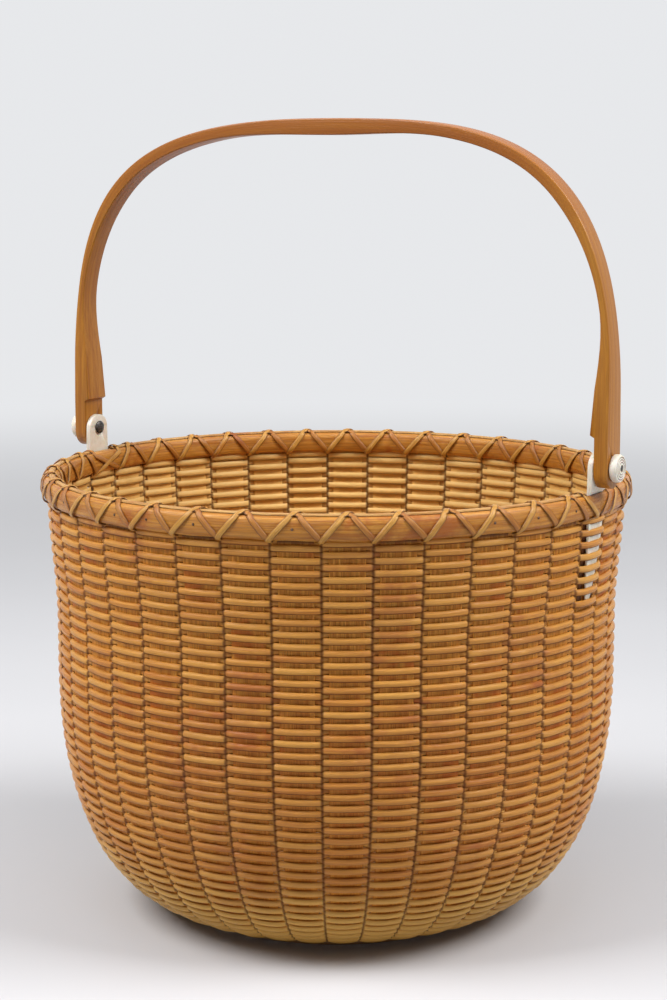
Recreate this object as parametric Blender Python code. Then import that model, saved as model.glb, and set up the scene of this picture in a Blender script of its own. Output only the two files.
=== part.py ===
"""Round lightship basket with a swing handle, modelled piece by piece.

A turned wooden base holds the feet of the staves in a groove round its edge.
The woven wall climbs the staves to the rim, where an outer and an inner hoop
clamp the stave heads under a thin filler.  Two lashing strands bind the rim,
crossing over every stave.  Two bone ears stand between stave and outer hoop,
and the bent handle swings on the pins that pass through them.

Lengths are in metres, +Z is up, the base rests on z = 0 and the handle's
pivot axis runs along X.
"""

from math import atan2, cos, pi, radians, sin, sqrt, tan
from typing import NamedTuple

import bmesh
import bpy
from mathutils import Vector

# Fits between pieces
CLEARANCE = 0.0003
CUT_OVERRUN = 0.002
MERGE_DISTANCE = 0.00001
MM_PER_METRE = 1000

# Staves: an odd number, so that one weaver can run round without a break
STAVE_COUNT = 39
STAVE_THICKNESS = 0.0010
STAVE_WIDTH_SHARE = 0.72

# Weaver, as the thickness that it adds outside and inside the staves.  It dips by the
# relief where it passes behind a stave, and a course stands for two rows of the real cane
OUTER_WEAVER = 0.0016
INNER_WEAVER = 0.0013
WEAVE_RELIEF = 0.0009
COURSE_COUNT = 41
WEAVE_CREASE_DEGREES = 12

# Turned base
BASE_RADIUS = 0.0895
BASE_HEIGHT = 0.0114
BASE_GROOVE_HEIGHT = 0.0060
BASE_GROOVE_DEPTH = 0.0080
BASE_EDGE_ROUND = 0.0026
BASE_RING_RADIUS = 0.0700
BASE_RING_WIDTH = 0.0050
BASE_RING_DEPTH = 0.0012
BASE_FACETS = 40

# Wall: the line halfway through the staves, full at the belly and flared at the rim
RIM_FLARE = 0.0042
BELLY_DROP = 0.1069
FLARE_LENGTH = 0.0635
FOOT_CURVE_SHARE = 0.268
BELLY_CURVE_SHARE = 0.824
CURVE_STATION_SHARES = (0.0, 0.2, 0.4, 0.55, 0.7, 0.84, 1.0)

# Rim
MOUTH_RADIUS = 0.1600
RIM_HEIGHT = 0.2405
HOOP_HEIGHT = 0.0120
OUTER_HOOP_THICKNESS = 0.0040
INNER_HOOP_THICKNESS = 0.0036
FILLER_WIDTH = 0.0034
FILLER_THICKNESS = 0.0010
FILLER_CREST_SHARE = 0.3

# Outlines of the hoops: share of the thickness from the stave, share of the height
OUTER_HOOP_SHARES = ((0.0, 0.0), (0.72, 0.0), (1.0, 0.2), (1.0, 0.66), (0.6, 0.93), (0.0, 1.0))
INNER_HOOP_SHARES = ((0.0, 0.0), (0.8, 0.08), (1.0, 0.35), (0.85, 0.8), (0.0, 1.0))

# Lashing strands: how far round the pitch each corner of a turn lies, from its gap
LASHING_WIDTH = 0.0032
LASHING_THICKNESS = 0.0008
LASHING_SHOULDER_SHARE = 0.88
LASHING_LEAN_SHARES = (0.0, 0.36, 0.5, 0.64, 1.0)
LASHING_EAR_LEAN_SHARES = (0.0, 0.0, 0.0, 0.0, 1.0)
LASHING_CORNERS_APART = 3

# Ears, with the leaf-shaped tail that runs down outside the stave
EAR_WIDTH = 0.0165
EAR_THICKNESS = 0.0030
EAR_TOP_ROUND = 0.0074
EAR_TAIL_LENGTH = 0.0595
EAR_TAIL_THICKNESS = 0.0018
EAR_TIP_THICKNESS = 0.0010
EAR_CHAMFER = 0.0004
EAR_LEAF_SHARES = (0.02, 0.12, 0.3)

# Pivot: pin with a head inside the ear, and a turned knob outside the handle
PIVOT_RISE = 0.0137
PIN_RADIUS = 0.0013
PIN_HEAD_RADIUS = 0.0037
PIN_HEAD_THICKNESS = 0.0014
PIN_DOME_SHARES = ((1.0, 0.0), (0.92, 0.5), (0.5, 0.9))
KNOB_RADIUS = 0.0072
KNOB_THICKNESS = 0.0045
KNOB_RING_SHARES = (0.64, 0.55, 0.46)
SMALL_FACETS = 18

# Handle, measured up from the pivot
HANDLE_RISE = 0.1758
HANDLE_END_DROP = 0.0106
LAP_THICKNESS = 0.0075
LAP_RISE = 0.0170
LAP_SHOULDER_SLANT = 0.0014
LEG_STRAIGHT_LENGTH = 0.0233
PADDLE_THICKNESS = 0.0099
NECK_THICKNESS = 0.0039
ARM_THICKNESS = 0.0062
CROWN_THICKNESS = 0.0088
LAP_WIDTH = 0.0170
NECK_WIDTH = 0.0131
CROWN_WIDTH = 0.0175
PADDLE_LENGTH = 0.0650
CROWN_SWELL_LENGTH = 0.0732
HANDLE_CHAMFER = 0.0008

# Bends of the right and left halves: the right shoulder is a little fuller
CROWN_BEND_SHARES = (0.500, 0.732)
LEG_BEND_SHARES = (0.990, 0.785)
END_ROUND_SHARES = (0.12, 0.4, 0.7, 1.0)
HANDLE_CURVE_STEPS = 16

# Values worked out from the sizes above
FULL_TURN = 2 * pi
PITCH_ANGLE = FULL_TURN / STAVE_COUNT
HALF_PITCH = PITCH_ANGLE / 2
EAR_STAVE_INDEX = STAVE_COUNT // 2
EAR_ANGLE = (pi - EAR_STAVE_INDEX * PITCH_ANGLE) / 2
BELLY_HEIGHT = RIM_HEIGHT - BELLY_DROP
HOOP_FOOT_HEIGHT = RIM_HEIGHT - HOOP_HEIGHT
FLARE_START_HEIGHT = HOOP_FOOT_HEIGHT - FLARE_LENGTH
PIVOT_HEIGHT = RIM_HEIGHT + PIVOT_RISE
PIN_HOLE_RADIUS = PIN_RADIUS + CLEARANCE
LASHING_LIFT = LASHING_THICKNESS + CLEARANCE
TAIL_END_HEIGHT = RIM_HEIGHT - EAR_TAIL_LENGTH


class Station(NamedTuple):
    """A place on the wall's line: radius, height and the outward direction."""

    radius: float
    height: float
    out_r: float
    out_z: float


def clear_scene():
    """Remove every object that the file starts with."""
    for scene_object in list(bpy.data.objects):
        bpy.data.objects.remove(scene_object, do_unlink=True)


def make_material(name, color, roughness, metallic=0.0):
    """Return a Principled material of one colour."""
    material = bpy.data.materials.new(name)
    material.use_nodes = True
    shader = material.node_tree.nodes["Principled BSDF"]
    shader.inputs["Base Color"].default_value = (*color, 1.0)
    shader.inputs["Roughness"].default_value = roughness
    shader.inputs["Metallic"].default_value = metallic
    return material


def base_wood():
    return make_material("base_wood", (0.34, 0.16, 0.06), 0.45)


def stave_wood():
    return make_material("stave_wood", (0.50, 0.23, 0.08), 0.55)


def weaver_cane():
    return make_material("weaver_cane", (0.60, 0.34, 0.12), 0.45)


def hoop_cane():
    return make_material("hoop_cane", (0.56, 0.27, 0.08), 0.35)


def lashing_cane():
    return make_material("lashing_cane", (0.70, 0.46, 0.17), 0.40)


def ear_bone():
    return make_material("ear_bone", (0.83, 0.78, 0.68), 0.38)


def pin_metal():
    return make_material("pin_metal", (0.11, 0.10, 0.10), 0.45, 0.9)


def handle_wood():
    return make_material("handle_wood", (0.55, 0.26, 0.08), 0.32)


def finish_object(name, mesh_data, material, crease_degrees=35):
    """Turn a bmesh into a named object, shaded smooth between its sharp edges."""
    bmesh.ops.recalc_face_normals(mesh_data, faces=mesh_data.faces)
    mesh = bpy.data.meshes.new(name)
    mesh_data.to_mesh(mesh)
    mesh_data.free()
    mesh.shade_smooth()
    mesh.set_sharp_from_angle(angle=radians(crease_degrees))
    mesh.materials.append(material)
    piece = bpy.data.objects.new(name, mesh)
    bpy.context.scene.collection.objects.link(piece)
    return piece


def loft(rings, closed_path=False):
    """Skin a row of closed rings, all with the same number of points.

    An open row gets flat caps at both ends.
    """
    skin = bmesh.new()
    loops = [[skin.verts.new(point) for point in ring] for ring in rings]
    following = loops[1:] + loops[:1] if closed_path else loops[1:]
    for near, far in zip(loops, following):
        for k in range(len(near)):
            after = (k + 1) % len(near)
            skin.faces.new((near[k], near[after], far[after], far[k]))
    if not closed_path:
        skin.faces.new(loops[0])
        skin.faces.new(loops[-1])
    return skin


def turn_outline(outline, axis_point, axis, across, facets):
    """Spin an outline of (distance along the axis, radius) points round an axis.

    An outline that starts away from the axis goes back to its first point.
    """
    skin = bmesh.new()
    verts = [skin.verts.new(axis_point + axis * along + across * out) for along, out in outline]
    edges = [skin.edges.new(pair) for pair in zip(verts, verts[1:])]
    if outline[0][1] > 0:
        edges.append(skin.edges.new((verts[-1], verts[0])))
    bmesh.ops.spin(
        skin, geom=verts + edges, cent=axis_point, axis=axis, angle=FULL_TURN, steps=facets
    )
    bmesh.ops.remove_doubles(skin, verts=skin.verts, dist=MERGE_DISTANCE)
    return skin


def chamfered_section(width, thickness, chamfer):
    """Return the (across, depth) corners of a rectangle with cut corners."""
    half = width / 2
    return (
        (chamfer - half, 0),
        (half - chamfer, 0),
        (half, chamfer),
        (half, thickness - chamfer),
        (half - chamfer, thickness),
        (chamfer - half, thickness),
        (-half, thickness - chamfer),
        (-half, chamfer),
    )


def cubic(points, share):
    """Return the point at a share of a cubic Bezier curve."""
    rest = 1 - share
    return (
        points[0] * rest**3
        + points[1] * (3 * rest**2 * share)
        + points[2] * (3 * rest * share**2)
        + points[3] * share**3
    )


def smooth(share):
    """Ease a share between 0 and 1, flat at both ends."""
    bounded = min(max(share, 0), 1)
    return bounded * bounded * (3 - 2 * bounded)


def stave_angle(index):
    """Return the angle of a stave; the first stands behind the right ear."""
    return -EAR_ANGLE - index * PITCH_ANGLE


def is_ear_stave(index):
    return index in (0, EAR_STAVE_INDEX)


def stave_width(radius):
    return STAVE_WIDTH_SHARE * PITCH_ANGLE * radius


def place(station, angle, depth, across):
    """Return a point given from a stave's own middle line: depth outward, across to its side."""
    radius = station.radius + depth * station.out_r
    height = station.height + depth * station.out_z
    return Vector(
        (
            radius * cos(angle) - across * sin(angle),
            radius * sin(angle) + across * cos(angle),
            height,
        )
    )


def head_radius():
    """Return the radius of the stave line at the rim, so that its corners clear the hoop."""
    corner = (MOUTH_RADIUS - OUTER_HOOP_THICKNESS - CLEARANCE) * cos(HALF_PITCH / 2)
    return sqrt(corner**2 - (stave_width(corner) / 2) ** 2) - STAVE_THICKNESS / 2


def flare_radius(height):
    """Return the radius of the stave line at a height above the belly."""
    share = (height - FLARE_START_HEIGHT) / FLARE_LENGTH
    return head_radius() - RIM_FLARE * (1 - smooth(share))


def wall_top_height():
    """Return the height of the woven wall, just under the lashing."""
    return HOOP_FOOT_HEIGHT - 2 * (CLEARANCE + LASHING_LIFT)


def wall_line():
    """Return the (radius, height) points of the stave line, from base to rim."""
    start = Vector((BASE_RADIUS + CLEARANCE, BASE_GROOVE_HEIGHT))
    end = Vector((head_radius() - RIM_FLARE, BELLY_HEIGHT))
    curve = (
        start,
        Vector((start.x + (end.x - start.x) * FOOT_CURVE_SHARE, start.y)),
        Vector((end.x, end.y - (end.y - start.y) * BELLY_CURVE_SHARE)),
        end,
    )
    line = [cubic(curve, share) for share in CURVE_STATION_SHARES]
    top = wall_top_height()
    for height in (TAIL_END_HEIGHT, (TAIL_END_HEIGHT + top) / 2, top):
        line.append(Vector((flare_radius(height), height)))
    return line


def wall_stations():
    """Return the stations of the woven wall, each with its outward direction."""
    line = wall_line()
    stations = []
    for k, point in enumerate(line):
        before = line[max(k - 1, 0)]
        after = line[min(k + 1, len(line) - 1)]
        run = (after - before).normalized()
        stations.append(Station(point.x, point.y, run.y, -run.x))
    stations[0] = stations[0]._replace(out_r=0.0, out_z=-1.0)
    stations[-1] = stations[-1]._replace(out_r=1.0, out_z=0.0)
    return stations


def wall_radius(height):
    """Return the radius of the stave line above the belly, between the wall's own stations."""
    line = [*wall_line(), Vector((head_radius(), HOOP_FOOT_HEIGHT))]
    for low, high in zip(line, line[1:]):
        if low.y <= height < high.y:
            share = (height - low.y) / (high.y - low.y)
            return low.x + (high.x - low.x) * share
    return head_radius()


def stave_stations():
    """Return the wall's stations with the foot in the base and the head in the rim."""
    inner_end = BASE_RADIUS - BASE_GROOVE_DEPTH + CLEARANCE
    foot = Station(inner_end, BASE_GROOVE_HEIGHT, 0.0, -1.0)
    neck = Station(head_radius(), HOOP_FOOT_HEIGHT, 1.0, 0.0)
    head = Station(head_radius(), RIM_HEIGHT, 1.0, 0.0)
    return [foot, *wall_stations(), neck, head]


def ear_distance():
    """Return how far the ears' inner faces stand from the basket's centre plane, along X."""
    face = head_radius() + STAVE_THICKNESS / 2
    corner = stave_width(head_radius()) / 2
    return face * cos(EAR_ANGLE) + corner * sin(EAR_ANGLE) + CLEARANCE


def pivot_y():
    """Return where the pivot axis runs: the ears stand on staves, a little off the middle."""
    return -head_radius() * sin(EAR_ANGLE)


def tail_inner_distance(height):
    """Return how far the inner face of an ear's tail stands from the centre plane."""
    return ear_distance() - head_radius() + wall_radius(height)


def tail_front(height):
    """Return the front edge of the room that an ear's tail has, along the stave's own edge."""
    radius = wall_radius(height)
    return -radius * sin(EAR_ANGLE) - (stave_width(radius) / 2 - CLEARANCE) * cos(EAR_ANGLE)


def ear_foot_width():
    """Return the ear's width at the rim, where it covers its stave."""
    return 2 * (pivot_y() - tail_front(HOOP_FOOT_HEIGHT))


def tail_thickness(height):
    """Return the thickness of an ear's tail, thinner towards its tip."""
    share = (height - TAIL_END_HEIGHT) / (HOOP_FOOT_HEIGHT - TAIL_END_HEIGHT)
    bounded = min(max(share, 0), 1)
    return EAR_TIP_THICKNESS + (EAR_TAIL_THICKNESS - EAR_TIP_THICKNESS) * bounded


def channel_depth(station, index):
    """Return how far the wall's channel reaches outside the stave line."""
    plain = STAVE_THICKNESS / 2 + CLEARANCE
    if not is_ear_stave(index) or station.height < TAIL_END_HEIGHT - MERGE_DISTANCE:
        return plain
    outer_face = tail_inner_distance(station.height) + tail_thickness(station.height)
    reach = outer_face * cos(EAR_ANGLE) - tail_front(station.height) * sin(EAR_ANGLE)
    return (reach - station.radius) / station.out_r + CLEARANCE


def half_channel(station):
    """Return half the width of a stave's channel."""
    return stave_width(station.radius) / 2 + CLEARANCE


def channel_ring(station):
    """Return the inner points of the wall at a station: lip, floor, floor and lip a stave."""
    inside = -STAVE_THICKNESS / 2 - INNER_WEAVER
    half = half_channel(station)
    ring = []
    for index in range(STAVE_COUNT):
        angle = stave_angle(index)
        floor = channel_depth(station, index)
        corners = ((inside, half), (floor, half), (floor, -half), (inside, -half))
        ring += [place(station, angle, depth, across) for depth, across in corners]
    return ring


def skin_columns():
    """Return the (stave, side) columns of the outer skin: two over an ear's tail, else one."""
    columns = []
    for index in range(STAVE_COUNT):
        columns += [(index, 1), (index, -1)] if is_ear_stave(index) else [(index, 0)]
    return columns


def skin_point(stations, run, column, cover):
    """Return a point of the outer skin: run up the wall, cover is the cane over the channel."""
    index, side = column
    for low, high in zip(stations, stations[1:]):
        step = sqrt((high.radius - low.radius) ** 2 + (high.height - low.height) ** 2)
        if run <= step or high is stations[-1]:
            break
        run -= step
    low_end, high_end = (
        place(
            station,
            stave_angle(index),
            channel_depth(station, index) + cover,
            side * half_channel(station),
        )
        for station in (low, high)
    )
    return low_end.lerp(high_end, min(run / step, 1))


def wall_length(stations):
    """Return the length of the stave line up the wall."""
    return sum(
        sqrt((high.radius - low.radius) ** 2 + (high.height - low.height) ** 2)
        for low, high in zip(stations, stations[1:])
    )


def add_weave(skin, stations):
    """Skin the outside as one weaver that climbs round and round, over and under by turns.

    Its course is a helix, because the number of staves is odd.  Returns its end loops.
    """
    columns = skin_columns()
    count = len(columns)
    length = wall_length(stations)
    course = length / (COURSE_COUNT + 1)
    weave, is_over = [], []
    for turn in range(COURSE_COUNT + 1):
        for column in columns[: count if turn < COURSE_COUNT else 1]:
            passes = turn * STAVE_COUNT + column[0]
            is_over.append(passes % 2 == 0)
            cover = OUTER_WEAVER if is_over[-1] else OUTER_WEAVER - WEAVE_RELIEF
            run = course * (1 / 2 + passes / STAVE_COUNT)
            weave.append(skin.verts.new(skin_point(stations, run, column, cover)))
    for k in range(count * (COURSE_COUNT - 1)):
        near, after, above, back = weave[k], weave[k + 1], weave[k + 1 + count], weave[k + count]
        if is_over[k]:
            skin.faces.new((near, after, above))
            skin.faces.new((near, above, back))
        else:
            skin.faces.new((near, after, back))
            skin.faces.new((after, above, back))
    even = OUTER_WEAVER - WEAVE_RELIEF / 2
    ends = []
    for run, edge in ((0, weave[: count + 1]), (length, weave[-count - 1 :])):
        loop = [skin.verts.new(skin_point(stations, run, column, even)) for column in columns]
        for k in range(count):
            skin.faces.new((loop[k], loop[(k + 1) % count], edge[k + 1], edge[k]))
        skin.faces.new((loop[0], edge[count], edge[0]))
        ends.append(loop)
    return ends


def skin_loops(skin, loops):
    """Join a row of closed loops of vertices with quads."""
    for near, far in zip(loops, loops[1:]):
        for k in range(len(near)):
            after = (k + 1) % len(near)
            skin.faces.new((near[k], near[after], far[after], far[k]))


def cap_wall(skin, outer, inner):
    """Close one end of the wall between its outer and inner loops, stave by stave."""
    columns = skin_columns()
    for k, (index, side) in enumerate(columns):
        left_floor, right_floor, right_lip = inner[4 * index + 1 : 4 * index + 4]
        if side == 1:
            skin.faces.new((outer[k], outer[k + 1], right_floor, left_floor))
            continue
        if side == 0:
            skin.faces.new((outer[k], right_floor, left_floor))
        following = (k + 1) % len(columns)
        next_index = columns[following][0]
        next_lip, next_floor = inner[4 * next_index : 4 * next_index + 2]
        skin.faces.new((outer[k], outer[following], next_floor, right_floor))
        skin.faces.new((right_floor, next_floor, next_lip, right_lip))


def build_woven_wall():
    """Model the woven wall: the weave outside, with a channel inside for every stave."""
    skin = bmesh.new()
    stations = wall_stations()
    inner_loops = [
        [skin.verts.new(point) for point in channel_ring(station)] for station in stations
    ]
    skin_loops(skin, inner_loops)
    foot, head = add_weave(skin, stations)
    cap_wall(skin, foot, inner_loops[0])
    cap_wall(skin, head, inner_loops[-1])
    return finish_object("woven_wall", skin, weaver_cane(), WEAVE_CREASE_DEGREES)


def build_stave(index, material):
    """Model one stave: a thin flat strip that widens from base to rim."""
    angle = stave_angle(index)
    half_thickness = STAVE_THICKNESS / 2
    rings = []
    for station in stave_stations():
        half = stave_width(max(station.radius, BASE_RADIUS)) / 2
        corners = (
            (-half_thickness, -half),
            (half_thickness, -half),
            (half_thickness, half),
            (-half_thickness, half),
        )
        rings.append([place(station, angle, depth, across) for depth, across in corners])
    return finish_object(f"stave_{index + 1:02d}", loft(rings), material)


def build_staves():
    material = stave_wood()
    for index in range(STAVE_COUNT):
        build_stave(index, material)


def build_base_disc():
    """Turn the base: rounded edge, groove for the staves and a ring cut on both faces."""
    half_groove = STAVE_THICKNESS / 2 + CLEARANCE
    low, high = BASE_GROOVE_HEIGHT - half_groove, BASE_GROOVE_HEIGHT + half_groove
    floor_radius = BASE_RADIUS - BASE_GROOVE_DEPTH
    ring_inner = BASE_RING_RADIUS - BASE_RING_WIDTH / 2
    ring_outer = BASE_RING_RADIUS + BASE_RING_WIDTH / 2
    round_corner = BASE_EDGE_ROUND / 3
    outline = (
        (0, 0),
        (0, ring_inner),
        (BASE_RING_DEPTH, BASE_RING_RADIUS),
        (0, ring_outer),
        (0, BASE_RADIUS - BASE_EDGE_ROUND),
        (round_corner, BASE_RADIUS - round_corner),
        (BASE_EDGE_ROUND, BASE_RADIUS),
        (low, BASE_RADIUS),
        (low, floor_radius),
        (high, floor_radius),
        (high, BASE_RADIUS),
        (BASE_HEIGHT - BASE_EDGE_ROUND, BASE_RADIUS),
        (BASE_HEIGHT - round_corner, BASE_RADIUS - round_corner),
        (BASE_HEIGHT, BASE_RADIUS - BASE_EDGE_ROUND),
        (BASE_HEIGHT, ring_outer),
        (BASE_HEIGHT - BASE_RING_DEPTH, BASE_RING_RADIUS),
        (BASE_HEIGHT, ring_inner),
        (BASE_HEIGHT, 0),
    )
    skin = turn_outline(outline, Vector(), Vector((0, 0, 1)), Vector((1, 0, 0)), BASE_FACETS)
    return finish_object("base_disc", skin, base_wood())


def rim_point(angle, radius, height):
    return Vector((radius * cos(angle), radius * sin(angle), height))


def hoop_rings(outline):
    """Return a hoop's sections, one over every stave and one over every gap."""
    angles = [stave_angle(0) - HALF_PITCH * k for k in range(2 * STAVE_COUNT)]
    return [[rim_point(angle, radius, height) for radius, height in outline] for angle in angles]


def outer_hoop_outline():
    inner_face = MOUTH_RADIUS - OUTER_HOOP_THICKNESS
    return [
        (inner_face + OUTER_HOOP_THICKNESS * out, HOOP_FOOT_HEIGHT + HOOP_HEIGHT * up)
        for out, up in OUTER_HOOP_SHARES
    ]


def inner_hoop_face():
    """Return the radius of the inner hoop's outer face, clear of the flat staves."""
    return head_radius() - STAVE_THICKNESS / 2 - CLEARANCE


def inner_hoop_outline():
    return [
        (inner_hoop_face() - INNER_HOOP_THICKNESS * out, HOOP_FOOT_HEIGHT + HOOP_HEIGHT * up)
        for out, up in INNER_HOOP_SHARES
    ]


def add_cut(piece, cutter):
    """Cut one solid from a piece with an exact Boolean, and keep the cutter out of sight."""
    cutter.hide_render = True
    cutter.display_type = "WIRE"
    cut = piece.modifiers.new(cutter.name, "BOOLEAN")
    cut.operation = "DIFFERENCE"
    cut.solver = "EXACT"
    cut.object = cutter


def box_cutter(name, low, high):
    """Return a box between two corners, to cut with."""
    corners = ((low.x, low.y), (high.x, low.y), (high.x, high.y), (low.x, high.y))
    rings = [[Vector((x, y, height)) for x, y in corners] for height in (low.z, high.z)]
    return finish_object(name, loft(rings), ear_bone())


def build_outer_hoop():
    """Model the outer hoop, half-round outside and notched for both ears."""
    hoop = finish_object("outer_hoop", loft(hoop_rings(outer_hoop_outline()), True), hoop_cane())
    half_notch = ear_foot_width() / 2 + CLEARANCE
    depth = ear_distance() + EAR_TAIL_THICKNESS + CLEARANCE
    start = ear_distance() - CLEARANCE - CUT_OVERRUN
    for side, name in ((1, "notch_cutter_right"), (-1, "notch_cutter_left")):
        ends = sorted((side * start, side * depth))
        low = Vector((ends[0], pivot_y() - half_notch, HOOP_FOOT_HEIGHT - CUT_OVERRUN))
        high = Vector((ends[1], pivot_y() + half_notch, RIM_HEIGHT + CUT_OVERRUN))
        add_cut(hoop, box_cutter(name, low, high))
    return hoop


def build_inner_hoop():
    rings = hoop_rings(inner_hoop_outline())
    return finish_object("inner_hoop", loft(rings, True), hoop_cane())


def filler_middle():
    """Return the radius of the filler's middle, over the stave heads."""
    return (inner_hoop_face() + MOUTH_RADIUS - OUTER_HOOP_THICKNESS) / 2


def filler_outline():
    """Return the filler's outline: flat foot, narrow round crest."""
    middle = filler_middle()
    half = FILLER_WIDTH / 2
    half_crest = half * FILLER_CREST_SHARE
    foot = RIM_HEIGHT + CLEARANCE
    return (
        (middle - half, foot),
        (middle + half, foot),
        (middle + half_crest, foot + FILLER_THICKNESS),
        (middle - half_crest, foot + FILLER_THICKNESS),
    )


def build_filler(name, first_stave, last_stave):
    """Model one filler strip, from one ear round to the other."""
    ear_margin = (ear_foot_width() / 2 + 2 * CLEARANCE) / head_radius()
    gaps = range(first_stave, last_stave)
    angles = [stave_angle(first_stave) - ear_margin]
    for index in gaps:
        angles.append(stave_angle(index) - HALF_PITCH)
        angles.append(stave_angle(index + 1))
    angles[-1] += ear_margin
    rings = [[rim_point(angle, *point) for point in filler_outline()] for angle in angles]
    return finish_object(name, loft(rings), hoop_cane())


class Corner(NamedTuple):
    """A corner of a lashing turn, with the offset that keeps its faces parallel."""

    radius: float
    height: float
    out_r: float
    out_z: float


def lashing_corners():
    """Return one turn's corners: up outside the rim, over the filler and down inside."""
    outside = MOUTH_RADIUS + CLEARANCE
    inner_face = inner_hoop_face() - INNER_HOOP_THICKNESS
    inside = inner_face * cos(HALF_PITCH / 2) - CLEARANCE
    foot = HOOP_FOOT_HEIGHT - CLEARANCE
    shoulder = HOOP_FOOT_HEIGHT + HOOP_HEIGHT * LASHING_SHOULDER_SHARE
    middle = filler_middle()
    pass_radius = middle + FILLER_WIDTH / 2 * FILLER_CREST_SHARE
    pass_height = RIM_HEIGHT + FILLER_THICKNESS + 2 * CLEARANCE
    crest = shoulder + (pass_height - shoulder) * (outside - middle) / (outside - pass_radius)
    slope = atan2(crest - shoulder, outside - middle)
    lean = tan((pi / 2 - slope) / 2)
    return (
        Corner(outside, foot, 1, -1),
        Corner(outside, shoulder, 1, lean),
        Corner(middle, crest, 0, 1 / cos(slope)),
        Corner(inside, shoulder, -1, lean),
        Corner(inside, foot, -1, -1),
    )


def lashing_path(staves, direction):
    """Return the (angle, corner) pairs of a strand that turns once round the rim a stave.

    Beside an ear the strand climbs straight up the gap and leans only inside the rim.
    """
    path = []
    for index in staves:
        start = stave_angle(index) + direction * HALF_PITCH
        shares = LASHING_EAR_LEAN_SHARES if is_ear_stave(index) else LASHING_LEAN_SHARES
        for share, corner in zip(shares, lashing_corners()):
            path.append((start - direction * PITCH_ANGLE * share, corner))
    return path


def print_least_gap(name, points):
    """Print a strand's least gap to itself, measured between turns."""
    apart = LASHING_CORNERS_APART
    reach = min(
        (points[k] - far).length for k in range(len(points)) for far in points[k + apart :]
    )
    print(f"{name}: least gap to itself {(reach - LASHING_WIDTH) * MM_PER_METRE:.1f} mm")


def build_lashing(name, staves, direction, lift):
    """Model one lashing strand as a flat ribbon, wound once round the rim for every stave."""
    path = lashing_path(staves, direction)
    points = [
        rim_point(angle, corner.radius + lift * corner.out_r, corner.height + lift * corner.out_z)
        for angle, corner in path
    ]
    print_least_gap(name, points)
    rings = []
    last = len(path) - 1
    for k, (angle, corner) in enumerate(path):
        outward = Vector((corner.out_r * cos(angle), corner.out_r * sin(angle), corner.out_z))
        tangent = Vector((-sin(angle), cos(angle), 0))
        run = points[min(k + 1, last)] - points[max(k - 1, 0)]
        upright = run - tangent * run.dot(tangent)
        across = tangent * (LASHING_WIDTH / 2 * run.length / upright.length)
        raised = points[k] + outward * LASHING_THICKNESS
        rings.append((points[k] - across, points[k] + across, raised + across, raised - across))
    return finish_object(name, loft(rings), lashing_cane())


def build_lashings():
    """Wind the rim from ear to ear, front and back, each with a strand under and one over."""
    front = range(EAR_STAVE_INDEX)
    back = range(EAR_STAVE_INDEX, STAVE_COUNT)
    for side_name, staves in (("front", front), ("back", back)):
        build_lashing(f"lashing_{side_name}_under", staves, 1, 0)
        build_lashing(f"lashing_{side_name}_over", staves[::-1], -1, LASHING_LIFT)


class EarStation(NamedTuple):
    """A level of an ear: height, front edge and width along Y, inner face and thickness along X."""

    height: float
    front: float
    width: float
    inner: float
    thickness: float


def tail_stations():
    """Return an ear's tail: a leaf on its stave's middle line, pointed at its lower end."""
    length = HOOP_FOOT_HEIGHT - TAIL_END_HEIGHT
    heights = [TAIL_END_HEIGHT + length * share for share in EAR_LEAF_SHARES]
    heights += [line.y for line in wall_line() if line.y > heights[-1]]
    heights.append(HOOP_FOOT_HEIGHT)
    stations = []
    for height in heights:
        width = ear_foot_width() * sqrt((height - TAIL_END_HEIGHT) / length)
        front = -wall_radius(height) * sin(EAR_ANGLE) - width / 2
        inner = tail_inner_distance(height)
        stations.append(EarStation(height, front, width, inner, tail_thickness(height)))
    return stations


def ear_stations():
    """Return the ear's levels, from the tail's tip to the round top."""
    rim_top = RIM_HEIGHT + CLEARANCE
    full = rim_top + EAR_THICKNESS - EAR_TAIL_THICKNESS
    inner = ear_distance()
    foot_width = ear_foot_width()
    foot_front = pivot_y() - foot_width / 2
    stations = tail_stations()
    stations.append(EarStation(rim_top, foot_front, foot_width, inner, EAR_TAIL_THICKNESS))
    stations.append(EarStation(full, foot_front, foot_width, inner, EAR_THICKNESS))
    for share in END_ROUND_SHARES[::-1]:
        turned = share * pi / 2
        width = EAR_WIDTH * sin(turned)
        height = PIVOT_HEIGHT + EAR_TOP_ROUND * cos(turned)
        stations.append(EarStation(height, pivot_y() - width / 2, width, inner, EAR_THICKNESS))
    return stations


def turn_at_pivot(outline, side):
    """Turn an outline of (distance along X, radius) points round the pivot axis."""
    return turn_outline(
        outline,
        Vector((0, pivot_y(), PIVOT_HEIGHT)),
        Vector((side, 0, 0)),
        Vector((0, 0, 1)),
        SMALL_FACETS,
    )


def pin_cutter(name, side, inner, outer):
    """Return the round cutter for a pin hole between two distances along X."""
    outline = ((inner, 0), (inner, PIN_HOLE_RADIUS), (outer, PIN_HOLE_RADIUS), (outer, 0))
    return finish_object(name, turn_at_pivot(outline, side), ear_bone())


def build_ear(side_name, side):
    """Model one bone ear: round head with the pin hole, thin tail bent along the stave."""
    rings = []
    for level in ear_stations():
        chamfer = min(EAR_CHAMFER, level.thickness / 3)
        section = chamfered_section(level.width, level.thickness, chamfer)
        middle = level.front + level.width / 2
        rings.append(
            [
                Vector((side * (level.inner + deep), middle + wide, level.height))
                for wide, deep in section
            ]
        )
    ear = finish_object(f"ear_{side_name}", loft(rings), ear_bone())
    inner = ear_distance() - CUT_OVERRUN
    outer = ear_distance() + EAR_THICKNESS + CUT_OVERRUN
    add_cut(ear, pin_cutter(f"ear_hole_cutter_{side_name}", side, inner, outer))
    return ear


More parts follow.
